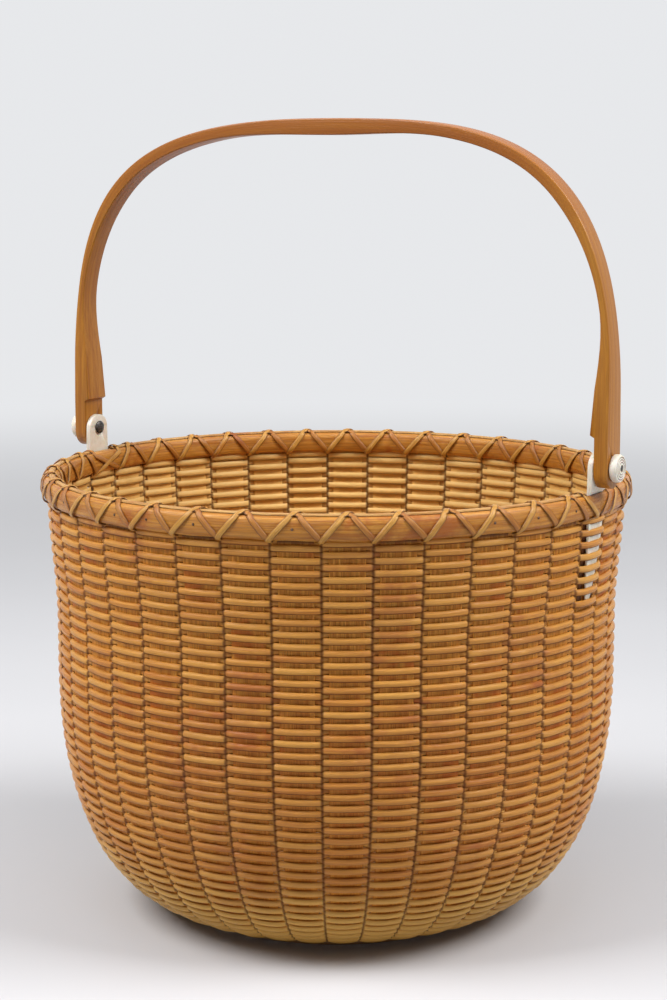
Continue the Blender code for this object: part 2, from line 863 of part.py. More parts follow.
def lap_distance():
    """Return how far the handle's lap faces stand from the centre plane."""
    return ear_distance() + EAR_THICKNESS + CLEARANCE


def leg_distance():
    """Return how far the outer faces of the handle's legs stand from the centre plane."""
    return lap_distance() + LAP_THICKNESS


def build_pin(side_name, side):
    """Turn one pin: domed head inside the ear, shank through handle and knob."""
    seat = ear_distance() - CLEARANCE
    tip = leg_distance() + CLEARANCE + KNOB_THICKNESS
    dome = [
        (seat - PIN_HEAD_THICKNESS * rise, PIN_HEAD_RADIUS * out) for out, rise in PIN_DOME_SHARES
    ]
    outline = (
        (seat - PIN_HEAD_THICKNESS, 0),
        *reversed(dome),
        (seat, PIN_RADIUS),
        (tip, PIN_RADIUS),
        (tip, 0),
    )
    skin = turn_at_pivot(outline, side)
    return finish_object(f"pivot_pin_{side_name}", skin, pin_metal())


def build_knob(side_name, side):
    """Turn one knob: rounded edge, a sunk ring and a raised boss round the pin's end."""
    back = leg_distance() + CLEARANCE
    face = back + KNOB_THICKNESS
    step = KNOB_THICKNESS / 8
    ring_outer, ring_middle, ring_inner = (KNOB_RADIUS * share for share in KNOB_RING_SHARES)
    outline = (
        (back, PIN_HOLE_RADIUS),
        (back, KNOB_RADIUS - step),
        (back + 2 * step, KNOB_RADIUS),
        (face - 3 * step, KNOB_RADIUS),
        (face - step, KNOB_RADIUS - 2 * step),
        (face - step, ring_outer),
        (face - 2 * step, ring_middle),
        (face - step, ring_inner),
        (face, PIN_HOLE_RADIUS + step),
        (face - step, PIN_HOLE_RADIUS),
    )
    return finish_object(f"knob_{side_name}", turn_at_pivot(outline, side), ear_bone())


def handle_thickness(rise, crown_run):
    """Return the handle's thickness at a run from the shoulder, or from the crown."""
    paddle = smooth(rise / PADDLE_LENGTH)
    leg = PADDLE_THICKNESS + (NECK_THICKNESS - PADDLE_THICKNESS) * paddle
    arm = (ARM_THICKNESS - NECK_THICKNESS) * smooth((rise - PADDLE_LENGTH) / PADDLE_LENGTH)
    crown = (CROWN_THICKNESS - ARM_THICKNESS) * (1 - smooth(crown_run / CROWN_SWELL_LENGTH))
    return leg + arm + crown


def handle_width(rise, crown_run):
    """Return the handle's width at a run from the shoulder, or from the crown."""
    leg = LAP_WIDTH + (NECK_WIDTH - LAP_WIDTH) * smooth(rise / PADDLE_LENGTH)
    return leg + (CROWN_WIDTH - NECK_WIDTH) * (1 - smooth(crown_run / (2 * CROWN_SWELL_LENGTH)))


def handle_half(crown_share, leg_share):
    """Return one half's (point, outward, width, thickness) sections, from leg end to crown."""
    leg = leg_distance()
    end = PIVOT_HEIGHT - HANDLE_END_DROP
    shoulder = PIVOT_HEIGHT + LAP_RISE
    outward = Vector((1, 0))
    sections = []
    for share in END_ROUND_SHARES:
        turned = share * pi / 2
        point = Vector((leg, end + LAP_WIDTH / 2 * (1 - cos(turned))))
        sections.append((point, outward, LAP_WIDTH * sin(turned), LAP_THICKNESS))
    low = shoulder - LAP_SHOULDER_SLANT
    sections.append((Vector((leg, low)), outward, LAP_WIDTH, LAP_THICKNESS))
    sections.append((Vector((leg, shoulder)), outward, LAP_WIDTH, PADDLE_THICKNESS))
    spring = Vector((leg, shoulder + LEG_STRAIGHT_LENGTH))
    crown = Vector((0, PIVOT_HEIGHT + HANDLE_RISE))
    curve = (
        spring,
        Vector((leg, spring.y + (crown.y - spring.y) * leg_share)),
        Vector((leg * crown_share, crown.y)),
        crown,
    )
    steps = HANDLE_CURVE_STEPS
    line = [cubic(curve, k / steps) for k in range(steps + 1)]
    runs = [spring.y - shoulder]
    for near, far in zip(line, line[1:]):
        runs.append(runs[-1] + (far - near).length)
    for k, point in enumerate(line):
        run = line[min(k + 1, steps)] - line[max(k - 1, 0)]
        outward = Vector((run.y, -run.x)).normalized()
        if k == 0:
            outward = Vector((1, 0))
        if k == steps:
            outward = Vector((0, 1))
        rise, crown_run = runs[k], runs[-1] - runs[k]
        width = handle_width(rise, crown_run)
        sections.append((point, outward, width, handle_thickness(rise, crown_run)))
    return sections


def build_handle():
    """Bend the handle: lapped and rounded ends, flared paddles, thin neck and thick crown."""
    right = handle_half(CROWN_BEND_SHARES[0], LEG_BEND_SHARES[0])
    left = handle_half(CROWN_BEND_SHARES[1], LEG_BEND_SHARES[1])
    sections = [(1, section) for section in right] + [(-1, section) for section in left[-2::-1]]
    rings = []
    for side, (point, outward, width, thickness) in sections:
        ring = []
        for wide, deep in chamfered_section(width, thickness, HANDLE_CHAMFER):
            spot = point - outward * deep
            ring.append(Vector((side * spot.x, pivot_y() + wide, spot.y)))
        rings.append(ring)
    handle = finish_object("handle", loft(rings), handle_wood())
    move_origin(handle, Vector((0, pivot_y(), PIVOT_HEIGHT)))
    inner = lap_distance() - CUT_OVERRUN
    outer = leg_distance() + CUT_OVERRUN
    for side, side_name in ((1, "right"), (-1, "left")):
        add_cut(handle, pin_cutter(f"handle_hole_cutter_{side_name}", side, inner, outer))
    return handle


def move_origin(piece, origin):
    """Put a piece's origin on its joint axis without moving the piece."""
    for vertex in piece.data.vertices:
        vertex.co -= origin
    piece.location = origin


def build_basket():
    """Build every piece of the basket."""
    clear_scene()
    build_base_disc()
    build_staves()
    build_woven_wall()
    build_outer_hoop()
    build_inner_hoop()
    build_filler("rim_filler_front", 0, EAR_STAVE_INDEX)
    build_filler("rim_filler_back", EAR_STAVE_INDEX, STAVE_COUNT)
    build_lashings()
    for side_name, side in (("right", 1), ("left", -1)):
        build_ear(side_name, side)
        build_pin(side_name, side)
        build_knob(side_name, side)
    build_handle()


build_basket()
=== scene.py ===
"""Looks of a nantucket basket: cane wall on wooden staves, lashed rim, bone ears, swinging handle.

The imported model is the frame, and every piece stands where its solids are. Lengths are metres.
The base rests on the floor at Z = 0, the ears stand at the ends of X, and the front faces -Y.
"""

import logging
from collections.abc import Callable, Iterable, Sequence
from dataclasses import dataclass, field, replace
from enum import Enum
from math import atan2, ceil, cos, exp, pi, radians, sin, sqrt, tan

import bmesh
import bpy
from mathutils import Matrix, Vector


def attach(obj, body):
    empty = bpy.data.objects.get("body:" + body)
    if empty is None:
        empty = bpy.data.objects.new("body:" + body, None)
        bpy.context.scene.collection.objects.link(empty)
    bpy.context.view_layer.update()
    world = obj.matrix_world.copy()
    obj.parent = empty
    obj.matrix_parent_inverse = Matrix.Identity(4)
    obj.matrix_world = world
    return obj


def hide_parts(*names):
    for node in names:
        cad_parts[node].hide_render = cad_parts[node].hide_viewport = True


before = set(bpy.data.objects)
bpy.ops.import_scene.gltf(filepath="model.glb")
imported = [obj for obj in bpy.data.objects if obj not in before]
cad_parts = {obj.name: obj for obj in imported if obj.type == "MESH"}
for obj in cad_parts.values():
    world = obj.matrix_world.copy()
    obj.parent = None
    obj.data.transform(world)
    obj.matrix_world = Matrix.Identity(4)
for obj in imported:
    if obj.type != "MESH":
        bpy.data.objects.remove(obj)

Colour = tuple[float, float, float]
Pair = tuple[float, float]

FULL_TURN = 2 * pi
QUARTER_TURN = pi / 2
MILLIMETRE = 0.001
MERGE_DISTANCE = 0.00001

log = logging.getLogger("basket")


class Body(Enum):
    """The bodies that pieces ride on."""

    BASKET = "basket"
    HANDLE = "handle"


class Slot(Enum):
    """The material slots."""

    BASE = "base_wood"
    STAVE = "stave_wood"
    WEAVER = "weaver_cane"
    HOOP = "hoop_cane"
    LASHING = "lashing_cane"
    BONE = "ear_bone"
    METAL = "pin_metal"
    HANDLE = "handle_wood"


class Socket(Enum):
    """The kinds of named inputs that a tree takes."""

    NUMBER = "NodeSocketFloat"
    COUNT = "NodeSocketInt"
    VECTOR = "NodeSocketVector"
    COLOUR = "NodeSocketColor"
    OBJECT = "NodeSocketObject"
    MATERIAL = "NodeSocketMaterial"


# Node trees


class Field:
    """A socket's value, for use in a formula."""

    def __init__(self, tree: "TreeMaker", socket: bpy.types.NodeSocket) -> None:
        """Keep the socket and the maker of its tree."""
        self.tree = tree
        self.socket = socket

    def __add__(self, other: object) -> "Field":
        """Return the sum."""
        return self.tree.math("ADD", self, other)

    __radd__ = __add__

    def __sub__(self, other: object) -> "Field":
        """Return the difference."""
        return self.tree.math("SUBTRACT", self, other)

    def __rsub__(self, other: object) -> "Field":
        """Return the difference the other way round."""
        return self.tree.math("SUBTRACT", other, self)

    def __mul__(self, other: object) -> "Field":
        """Return the product."""
        return self.tree.math("MULTIPLY", self, other)

    __rmul__ = __mul__

    def __truediv__(self, other: object) -> "Field":
        """Return the quotient."""
        return self.tree.math("DIVIDE", self, other)

    def __mod__(self, other: object) -> "Field":
        """Return the remainder, never negative."""
        return self.tree.math("FLOORED_MODULO", self, other)

    def sine(self) -> "Field":
        """Return the sine."""
        return self.tree.math("SINE", self)

    def cosine(self) -> "Field":
        """Return the cosine."""
        return self.tree.math("COSINE", self)

    def rounded(self) -> "Field":
        """Return the nearest whole number."""
        return self.tree.math("ROUND", self)

    def size(self) -> "Field":
        """Return the value without its sign."""
        return self.tree.math("ABSOLUTE", self)

    def eased(self, low: object, high: object, start: object = 0.0, end: object = 1.0) -> "Field":
        """Return start below low, end above high, and a smooth passage between.

        Args:
            low: Value where the passage starts.
            high: Value where it ends.
            start: Result at low.
            end: Result at high.

        Returns:
            The eased value.
        """
        node = self.tree.add(
            "ShaderNodeMapRange",
            {0: self, 1: low, 2: high, 3: start, 4: end},
            interpolation_type="SMOOTHSTEP",
        )
        return Field(self.tree, node.outputs[0])


class TreeMaker:
    """Adds and joins the nodes of one tree."""

    def __init__(self, tree: bpy.types.NodeTree) -> None:
        """Start on a tree."""
        self.tree = tree
        self.nodes = tree.nodes

    def add(self, kind: str, inputs: dict | None = None, **settings: object) -> bpy.types.Node:
        """Add a node.

        Args:
            kind: Type name of the node.
            inputs: Values, fields or sockets, by the input's name or number.
            **settings: Options of the node itself.

        Returns:
            The new node.
        """
        node = self.nodes.new(kind)
        for name, value in settings.items():
            setattr(node, name, value)
        for key, value in (inputs or {}).items():
            self.feed(node.inputs[key], value)
        return node

    def feed(self, socket: bpy.types.NodeSocket, value: object) -> None:
        """Link a field or socket to an input, or write a plain value in it.

        Args:
            socket: The input.
            value: What it takes.
        """
        if isinstance(value, Field):
            value = value.socket
        if isinstance(value, bpy.types.NodeSocket):
            self.tree.links.new(value, socket)
        else:
            socket.default_value = value

    def math(self, operation: str, *terms: object) -> Field:
        """Return the result of a Math node on one to three terms."""
        node = self.add("ShaderNodeMath", dict(enumerate(terms)), operation=operation)
        return Field(self, node.outputs[0])

    def vector(self, x: object, y: object, z: object) -> Field:
        """Return a vector made of three numbers."""
        return Field(self, self.add("ShaderNodeCombineXYZ", {0: x, 1: y, 2: z}).outputs[0])

    def parts(self, vector: object) -> tuple[Field, Field, Field]:
        """Return the three numbers of a vector."""
        outputs = self.add("ShaderNodeSeparateXYZ", {0: vector}).outputs
        return Field(self, outputs[0]), Field(self, outputs[1]), Field(self, outputs[2])

    def noise(self, place: object, scale: float, detail: float = 2.0, rough: float = 0.5) -> Field:
        """Return smooth noise from 0 to 1.

        Args:
            place: Vector that the noise is read at.
            scale: How fine the noise is.
            detail: Octaves.
            rough: Share of each finer octave.

        Returns:
            The noise value.
        """
        inputs = {"Vector": place, "Scale": scale, "Detail": detail, "Roughness": rough}
        return Field(self, self.add("ShaderNodeTexNoise", inputs).outputs[0])

    def mix(self, share: object, first: object, second: object) -> bpy.types.NodeSocket:
        """Return a colour between two.

        Args:
            share: Share of the second colour.
            first: Colour at share 0.
            second: Colour at share 1.

        Returns:
            The colour socket.
        """
        inputs = {0: share, 6: opaque(first), 7: opaque(second)}
        return self.add("ShaderNodeMix", inputs, data_type="RGBA").outputs[2]

    def in_sight(self) -> Field:
        """Return 1 for the rays of the camera, of reflections and through clear things."""
        rays = self.add("ShaderNodeLightPath").outputs
        seen = [Field(self, rays[f"Is {kind} Ray"]) for kind in ("Camera", "Glossy", "Transmission")]
        return self.math("MAXIMUM", seen[0], self.math("MAXIMUM", seen[1], seen[2]))


class FormTree(TreeMaker):
    """A geometry tree with named inputs, run on a mesh to give a plain mesh."""

    def __init__(self, name: str, given: dict[str, Socket]) -> None:
        """Open a tree with a geometry input, the given inputs and a material.

        Args:
            name: Name of the tree.
            given: Kind of each named input.
        """
        tree = bpy.data.node_groups.new(name, "GeometryNodeTree")
        tree.interface.new_socket("Geometry", in_out="OUTPUT", socket_type="NodeSocketGeometry")
        tree.interface.new_socket("Geometry", in_out="INPUT", socket_type="NodeSocketGeometry")
        for label, kind in {**given, "Finish": Socket.MATERIAL}.items():
            tree.interface.new_socket(label, in_out="INPUT", socket_type=kind.value)
        super().__init__(tree)
        self.entry = self.nodes.new("NodeGroupInput")
        self.exit = self.nodes.new("NodeGroupOutput")

    def given(self, name: str) -> Field:
        """Return a named input."""
        return Field(self, self.entry.outputs[name])

    def section(self, name: str) -> bpy.types.NodeSocket:
        """Return the curve of a section that comes in as an object."""
        shape = self.add("GeometryNodeObjectInfo", {"Object": self.given(name)})
        return self.add("GeometryNodeMeshToCurve", {"Mesh": shape.outputs["Geometry"]}).outputs[0]

    def sweep(
        self, curve: object, normal: object, section: object, girth: object = 1.0
    ) -> bpy.types.NodeSocket:
        """Sweep a section along a curve and close its ends.

        Args:
            curve: The path.
            normal: Where the section's X axis points.
            section: The section's curve.
            girth: What the section's size is multiplied by.

        Returns:
            The mesh.
        """
        turned = self.add(
            "GeometryNodeSetCurveNormal", {"Curve": curve, "Normal": normal}, mode="FREE"
        )
        sized = self.add(
            "GeometryNodeSetCurveRadius", {"Curve": turned.outputs[0], "Radius": girth}
        )
        inputs = {"Curve": sized.outputs[0], "Profile Curve": section, "Fill Caps": True}
        return self.add("GeometryNodeCurveToMesh", inputs).outputs[0]

    def store(self, geometry: object, name: str, value: object, domain: str = "POINT") -> object:
        """Keep a number on a geometry under a name.

        Args:
            geometry: The geometry.
            name: The attribute's name.
            value: The number's field.
            domain: Where it is kept.

        Returns:
            The geometry with the attribute.
        """
        inputs = {"Geometry": geometry, "Name": name, "Value": value}
        node = self.add("GeometryNodeStoreNamedAttribute", inputs, data_type="FLOAT", domain=domain)
        return node.outputs[0]

    def close(self, geometry: object) -> None:
        """End the tree: real geometry, smooth faces and one finish."""
        real = self.add("GeometryNodeRealizeInstances", {"Geometry": geometry}).outputs[0]
        smooth = self.add("GeometryNodeSetShadeSmooth", {"Geometry": real}).outputs[0]
        inputs = {"Geometry": smooth, "Material": self.given("Finish")}
        self.feed(self.exit.inputs[0], self.add("GeometryNodeSetMaterial", inputs).outputs[0])

    def run(self, name: str, mesh: bpy.types.Mesh, values: dict[str, object]) -> bpy.types.Object:
        """Run the tree on a mesh.

        Args:
            name: Name of the piece.
            mesh: What the tree starts from.
            values: Value of each named input.

        Returns:
            The piece, with a plain mesh and no modifier.
        """
        piece = linked(name, mesh)
        modifier = piece.modifiers.new(self.tree.name, "NODES")
        modifier.node_group = self.tree
        for item in self.tree.interface.items_tree:
            if item.in_out == "INPUT" and item.name in values:
                modifier[item.identifier] = values[item.name]
        graph = bpy.context.evaluated_depsgraph_get()
        shown = piece.evaluated_get(graph)
        made = bpy.data.meshes.new_from_object(shown, preserve_all_data_layers=True, depsgraph=graph)
        piece.modifiers.clear()
        piece.data = made
        return piece


def opaque(colour: object) -> object:
    """Return a colour with full alpha, and anything else as it is."""
    return (*colour, 1.0) if isinstance(colour, tuple) else colour


# Meshes


def linked(name: str, mesh: bpy.types.Mesh) -> bpy.types.Object:
    """Return a new object that shows a mesh in the scene."""
    piece = bpy.data.objects.new(name, mesh)
    bpy.context.scene.collection.objects.link(piece)
    return piece


def keep(mesh: bpy.types.Mesh, name: str, values: Sequence[float]) -> None:
    """Keep one number for each vertex under a name."""
    mesh.attributes.new(name, "FLOAT", "POINT").data.foreach_set("value", values)


def chain(name: str, points: Sequence[Vector], closed: bool = False) -> bpy.types.Mesh:
    """Return points joined by edges, in a row or in a ring."""
    mesh = bpy.data.meshes.new(name)
    edges = [(k, k + 1) for k in range(len(points) - 1)]
    mesh.from_pydata(points, edges + [(len(points) - 1, 0)] * closed, [])
    return mesh


def section_object(name: str, outline: Sequence[Pair], across_unit: float = 1.0) -> bpy.types.Object:
    """Return a closed section for a sweep.

    Args:
        name: Name of the section.
        outline: Its (depth, across) corners, anticlockwise.
        across_unit: What one across is worth, in metres, in the kept numbers.

    Returns:
        An object in no collection, with its depth and across kept on its points.
    """
    mesh = chain(name, [Vector((deep, wide, 0)) for deep, wide in outline], True)
    keep(mesh, "depth", [deep for deep, _ in outline])
    keep(mesh, "across", [wide * across_unit for _, wide in outline])
    return bpy.data.objects.new(name, mesh)


def rounded_section(width: float, thickness: float, radius: float, steps: int) -> list[Pair]:
    """Return the outline of a bar with round edges.

    Args:
        width: Size across.
        thickness: Size in depth, from 0.
        radius: Radius of the edges.
        steps: Points less one on each edge.

    Returns:
        The (across, depth) points.
    """
    side, deep = width / 2 - radius, thickness - radius
    corners = ((side, deep), (-side, deep), (-side, radius), (side, radius))
    outline = []
    for k, (across, depth) in enumerate(corners):
        for step in range(steps + 1):
            turned = QUARTER_TURN * (k + step / steps)
            outline.append((across + radius * cos(turned), depth + radius * sin(turned)))
    return outline


@dataclass
class Loft:
    """A skin over a row of sections, with each point's place along, across and deep kept."""

    rings: list[list[Vector]] = field(default_factory=list)
    grain: list[tuple[float, float, float]] = field(default_factory=list)

    def add(self, ring: Sequence[Vector], run: float, section: Sequence[Pair]) -> None:
        """Add a section.

        Args:
            ring: Its points.
            run: Its place along the path.
            section: Each point's (across, depth).
        """
        self.rings.append(list(ring))
        self.grain.extend((run, across, depth) for across, depth in section)

    def skin(self, name: str, closed_path: bool = False, crease: float = 35) -> bpy.types.Object:
        """Return the piece.

        Args:
            name: Name of the piece.
            closed_path: Whether the last section joins the first.
            crease: Angle in degrees from which an edge stays sharp.

        Returns:
            The piece, smooth between its sharp edges.
        """
        count, around = len(self.rings), len(self.rings[0])
        faces = []
        for k in range(count if closed_path else count - 1):
            near, far = k * around, (k + 1) % count * around
            for j in range(around):
                after = (j + 1) % around
                faces.append((near + j, near + after, far + after, far + j))
        if not closed_path:
            faces.append(tuple(range(around)))
            faces.append(tuple(range((count - 1) * around, count * around)))
        mesh = bpy.data.meshes.new(name)
        mesh.from_pydata([point for ring in self.rings for point in ring], [], faces)
        for k, label in enumerate(("run", "across", "depth")):
            keep(mesh, label, [values[k] for values in self.grain])
        return tidied(name, mesh, crease)


def tidied(name: str, mesh: bpy.types.Mesh, crease: float) -> bpy.types.Object:
    """Return a piece with its faces turned outwards, smooth between its sharp edges."""
    skin = bmesh.new()
    skin.from_mesh(mesh)
    bmesh.ops.recalc_face_normals(skin, faces=skin.faces)
    skin.to_mesh(mesh)
    skin.free()
    mesh.shade_smooth()
    mesh.set_sharp_from_angle(angle=radians(crease))
    return linked(name, mesh)


@dataclass(frozen=True)
class Lathe:
    """Turns outlines of (distance along the axis, radius) round an axis."""

    centre: Vector
    axis: Vector
    across: Vector
    facets: int

    def turn(self, name: str, outline: Sequence[Pair], crease: float = 35) -> bpy.types.Object:
        """Turn an outline; one that starts away from the axis is closed to a ring.

        Args:
            name: Name of the piece.
            outline: Points from the axis and back to it, or round a ring.
            crease: Angle in degrees from which an edge stays sharp.

        Returns:
            The piece.
        """
        skin = bmesh.new()
        verts = [skin.verts.new(self.centre + self.axis * a + self.across * r) for a, r in outline]
        edges = [skin.edges.new(pair) for pair in zip(verts, verts[1:])]
        if outline[0][1] > 0:
            edges.append(skin.edges.new((verts[-1], verts[0])))
        bmesh.ops.spin(
            skin,
            geom=verts + edges,
            cent=self.centre,
            axis=self.axis,
            angle=FULL_TURN,
            steps=self.facets,
        )
        bmesh.ops.remove_doubles(skin, verts=skin.verts, dist=MERGE_DISTANCE)
        mesh = bpy.data.meshes.new(name)
        skin.to_mesh(mesh)
        skin.free()
        return tidied(name, mesh, crease)


def cubic(points: Sequence[Vector], share: float) -> Vector:
    """Return the point at a share of a cubic Bezier curve."""
    rest = 1 - share
    return (
        points[0] * rest**3
        + points[1] * (3 * rest**2 * share)
        + points[2] * (3 * rest * share**2)
        + points[3] * share**3
    )


def smooth(share: float) -> float:
    """Return a share held between 0 and 1, flat at both ends."""
    bounded = min(max(share, 0), 1)
    return bounded * bounded * (3 - 2 * bounded)


def ripple(place: float, seed: float) -> float:
    """Return a slow wander between about -1 and 1 for a place on a line."""
    return (sin(place + seed) + sin(place * 2.3 + seed * 1.7) * 0.6 + sin(place * 5.1 + seed)) / 2.6


def place_piece(
    piece: bpy.types.Object,
    body: Body,
    slot: Slot,
    nodes: Iterable[str] = (),
    finish: bpy.types.Material | None = None,
) -> None:
    """Tell the frame what a piece belongs to, and report it.

    Args:
        piece: The finished piece.
        body: Body that it moves with.
        slot: Material slot that it answers to; not used.
        nodes: Solids that it stands for.
        finish: Material, where the piece has none yet.
    """
    if finish:
        piece.data.materials.clear()
        piece.data.materials.append(finish)
    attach(piece, body.value)
    nodes = tuple(nodes)
    if nodes:
        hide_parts(*nodes)
    log.info("%s: %d faces on %s", piece.name, len(piece.data.polygons), body.value)


# Finishes


class Effects:
    """Shader node groups that several finishes use, each built once."""

    made: dict[str, bpy.types.NodeTree] = {}

    @classmethod
    def group(
        cls,
        name: str,
        given: dict[str, Socket],
        results: Sequence[str],
        wire: Callable[["TreeMaker", Callable[[str], Field]], Sequence[Field]],
    ) -> bpy.types.NodeTree:
        """Return a group, building it on first use.

        Args:
            name: Name of the group.
            given: Kind of each named input.
            results: Names of its number outputs.
            wire: Adds the nodes and returns the outputs' fields.

        Returns:
            The group's tree.
        """
        if name in cls.made:
            return cls.made[name]
        tree = bpy.data.node_groups.new(name, "ShaderNodeTree")
        for label, kind in given.items():
            tree.interface.new_socket(label, in_out="INPUT", socket_type=kind.value)
        for label in results:
            tree.interface.new_socket(label, in_out="OUTPUT", socket_type=Socket.NUMBER.value)
        maker = TreeMaker(tree)
        entry = maker.nodes.new("NodeGroupInput")
        leave = maker.nodes.new("NodeGroupOutput")
        fields = wire(maker, lambda label: Field(maker, entry.outputs[label]))
        for label, value in zip(results, fields):
            maker.feed(leave.inputs[label], value)
        cls.made[name] = tree
        return tree

    @classmethod
    def fibre(cls) -> bpy.types.NodeTree:
        """Return the group that draws fibres along a grain: broad bands and fine lines."""

        def wire(maker: TreeMaker, given: Callable[[str], Field]) -> Sequence[Field]:
            """Stretch noise along the grain, once broad and once fine."""
            run, across, depth = maker.parts(given("Grain"))
            stretch, fineness = given("Stretch"), given("Fineness")
            place = maker.vector(run * fineness / stretch, across * fineness, depth * fineness)
            bands = maker.noise(place, 1.0, 3.0, 0.55).eased(0.3, 0.7)
            lines = maker.noise(place, 4.3, 4.0, 0.65).eased(0.35, 0.7)
            roughness = lines.eased(0.0, 1.0, given("Smooth"), given("Rough"))
            return bands, lines, roughness, lines + bands * 0.5

        given = {"Grain": Socket.VECTOR}
        given |= dict.fromkeys(("Stretch", "Fineness", "Smooth", "Rough"), Socket.NUMBER)
        return cls.group("fibre_lines", given, ("Bands", "Lines", "Roughness", "Height"), wire)

    @classmethod
    def age(cls) -> bpy.types.NodeTree:
        """Return the group that draws patches where cane and wood have darkened."""

        def wire(maker: TreeMaker, given: Callable[[str], Field]) -> Sequence[Field]:
            """Keep the peaks of a soft noise, broken by a finer one."""
            scale = given("Scale")
            soft = maker.add(
                "ShaderNodeTexNoise", {"Vector": given("Place"), "Scale": scale, "Detail": 3.0}
            )
            fine = maker.add(
                "ShaderNodeTexNoise", {"Vector": given("Place"), "Scale": scale * 6, "Detail": 2.0}
            )
            mixed = Field(maker, soft.outputs[0]) + (Field(maker, fine.outputs[0]) - 0.5) * 0.35
            edge = 0.78 - given("Cover") * 0.5
            return (mixed.eased(edge - 0.07, edge + 0.07),)

        given = {"Place": Socket.VECTOR, "Scale": Socket.NUMBER, "Cover": Socket.NUMBER}
        return cls.group("aged_patches", given, ("Mask",), wire)

    @classmethod
    def low_dark(cls) -> bpy.types.NodeTree:
        """Return the group that darkens a band low on the wall."""

        def wire(maker: TreeMaker, given: Callable[[str], Field]) -> Sequence[Field]:
            """Rise above the foot and fade towards the middle."""
            height = maker.parts(given("Place"))[2]
            rise = height.eased(given("Start"), given("Full"))
            return (rise * height.eased(given("Fade"), given("End"), given("Share"), 0.0),)

        given = {"Place": Socket.VECTOR}
        given |= dict.fromkeys(("Start", "Full", "Fade", "End", "Share"), Socket.NUMBER)
        return cls.group("low_wall_dark", given, ("Mask",), wire)

    @classmethod
    def border(cls) -> bpy.types.NodeTree:
        """Return the group that finds a strip's two long edges."""

        def wire(maker: TreeMaker, given: Callable[[str], Field]) -> Sequence[Field]:
            """Rise from the start to the end, on both sides of the middle."""
            return (given("Across").size().eased(given("Start"), given("End"), 0.0, given("Share")),)

        given = dict.fromkeys(("Across", "Start", "End", "Share"), Socket.NUMBER)
        return cls.group("strip_border", given, ("Mask",), wire)

    @classmethod
    def inner_side(cls) -> bpy.types.NodeTree:
        """Return the group that finds the side that faces into the basket."""

        def wire(maker: TreeMaker, given: Callable[[str], Field]) -> Sequence[Field]:
            """Fall from the inner depth to the outer one."""
            return (given("Depth").eased(given("Inner"), given("Outer"), given("Share"), 0.0),)

        given = dict.fromkeys(("Depth", "Inner", "Outer", "Share"), Socket.NUMBER)
        return cls.group("inner_side", given, ("Mask",), wire)

    @classmethod
    def bone(cls) -> bpy.types.NodeTree:
        """Return the group that draws the mottle and the upright pores of bone."""

        def wire(maker: TreeMaker, given: Callable[[str], Field]) -> Sequence[Field]:
            """Stretch the pores' noise upright; the mottle also sets roughness and height."""
            place = given("Place")
            x, y, z = maker.parts(place)
            mottle = maker.noise(place, 240.0, 3.0).eased(0.35, 0.75)
            pores = maker.noise(maker.vector(x, y, z * 0.12), 2200.0, 3.0).eased(0.56, 0.74)
            roughness = mottle.eased(0.0, 1.0, given("Smooth"), given("Rough"))
            return mottle, pores, roughness, mottle * 0.3 - pores

        given = {"Place": Socket.VECTOR, "Smooth": Socket.NUMBER, "Rough": Socket.NUMBER}
        return cls.group("bone_mottle", given, ("Mottle", "Pores", "Roughness", "Height"), wire)


class Shading(TreeMaker):
    """A material's nodes round one Principled shader."""

    def __init__(self, name: str, **fixed: float) -> None:
        """Open a material.

        Args:
            name: Name of the material.
            **fixed: Values for the shader's own sockets, with _ for a space.
        """
        self.material = bpy.data.materials.new(name)
        self.material.use_nodes = True
        super().__init__(self.material.node_tree)
        self.shader = self.nodes["Principled BSDF"]
        for label, value in fixed.items():
            self.shader.inputs[label.replace("_", " ")].default_value = value

    def kept(self, name: str) -> Field:
        """Return a number that a mesh keeps on its points."""
        node = self.add("ShaderNodeAttribute", attribute_name=name)
        return Field(self, node.outputs["Fac"])

    def grain(self) -> Field:
        """Return the place along, across and deep in a piece's fibres."""
        return self.vector(self.kept("run"), self.kept("across"), self.kept("depth"))

    def place(self) -> Field:
        """Return the place in the object's own coordinates."""
        return Field(self, self.add("ShaderNodeTexCoord").outputs["Object"])

    def use(self, group: bpy.types.NodeTree, **inputs: object) -> list[Field]:
        """Place an effect group with its values and return its outputs."""
        node = self.add("ShaderNodeGroup", inputs, node_tree=group)
        return [Field(self, socket) for socket in node.outputs]

    def border(self, band: Pair, share: float) -> Field:
        """Return where a strip's long edges lie, up to a share."""
        start, end = band
        given = {"Across": self.kept("across"), "Start": start, "End": end, "Share": share}
        return self.use(Effects.border(), **given)[0]

    def inner_side(self, depths: Pair, share: float) -> Field:
        """Return where a strand faces into the basket, up to a share."""
        inner, outer = depths
        given = {"Depth": self.kept("depth"), "Inner": inner, "Outer": outer, "Share": share}
        return self.use(Effects.inner_side(), **given)[0]

    def finish(
        self, colour: object, roughness: object, height: object, relief: float
    ) -> bpy.types.Material:
        """Feed the shader and close the material.

        Args:
            colour: Base colour.
            roughness: Roughness field.
            height: Height field for the bump.
            relief: Height of the bump, in metres.

        Returns:
            The material.
        """
        bump = self.add("ShaderNodeBump", {"Height": height, "Distance": relief, "Strength": 1.0})
        self.feed(self.shader.inputs["Base Color"], colour)
        self.feed(self.shader.inputs["Roughness"], roughness)
        self.feed(self.shader.inputs["Normal"], bump.outputs[0])
        return self.material


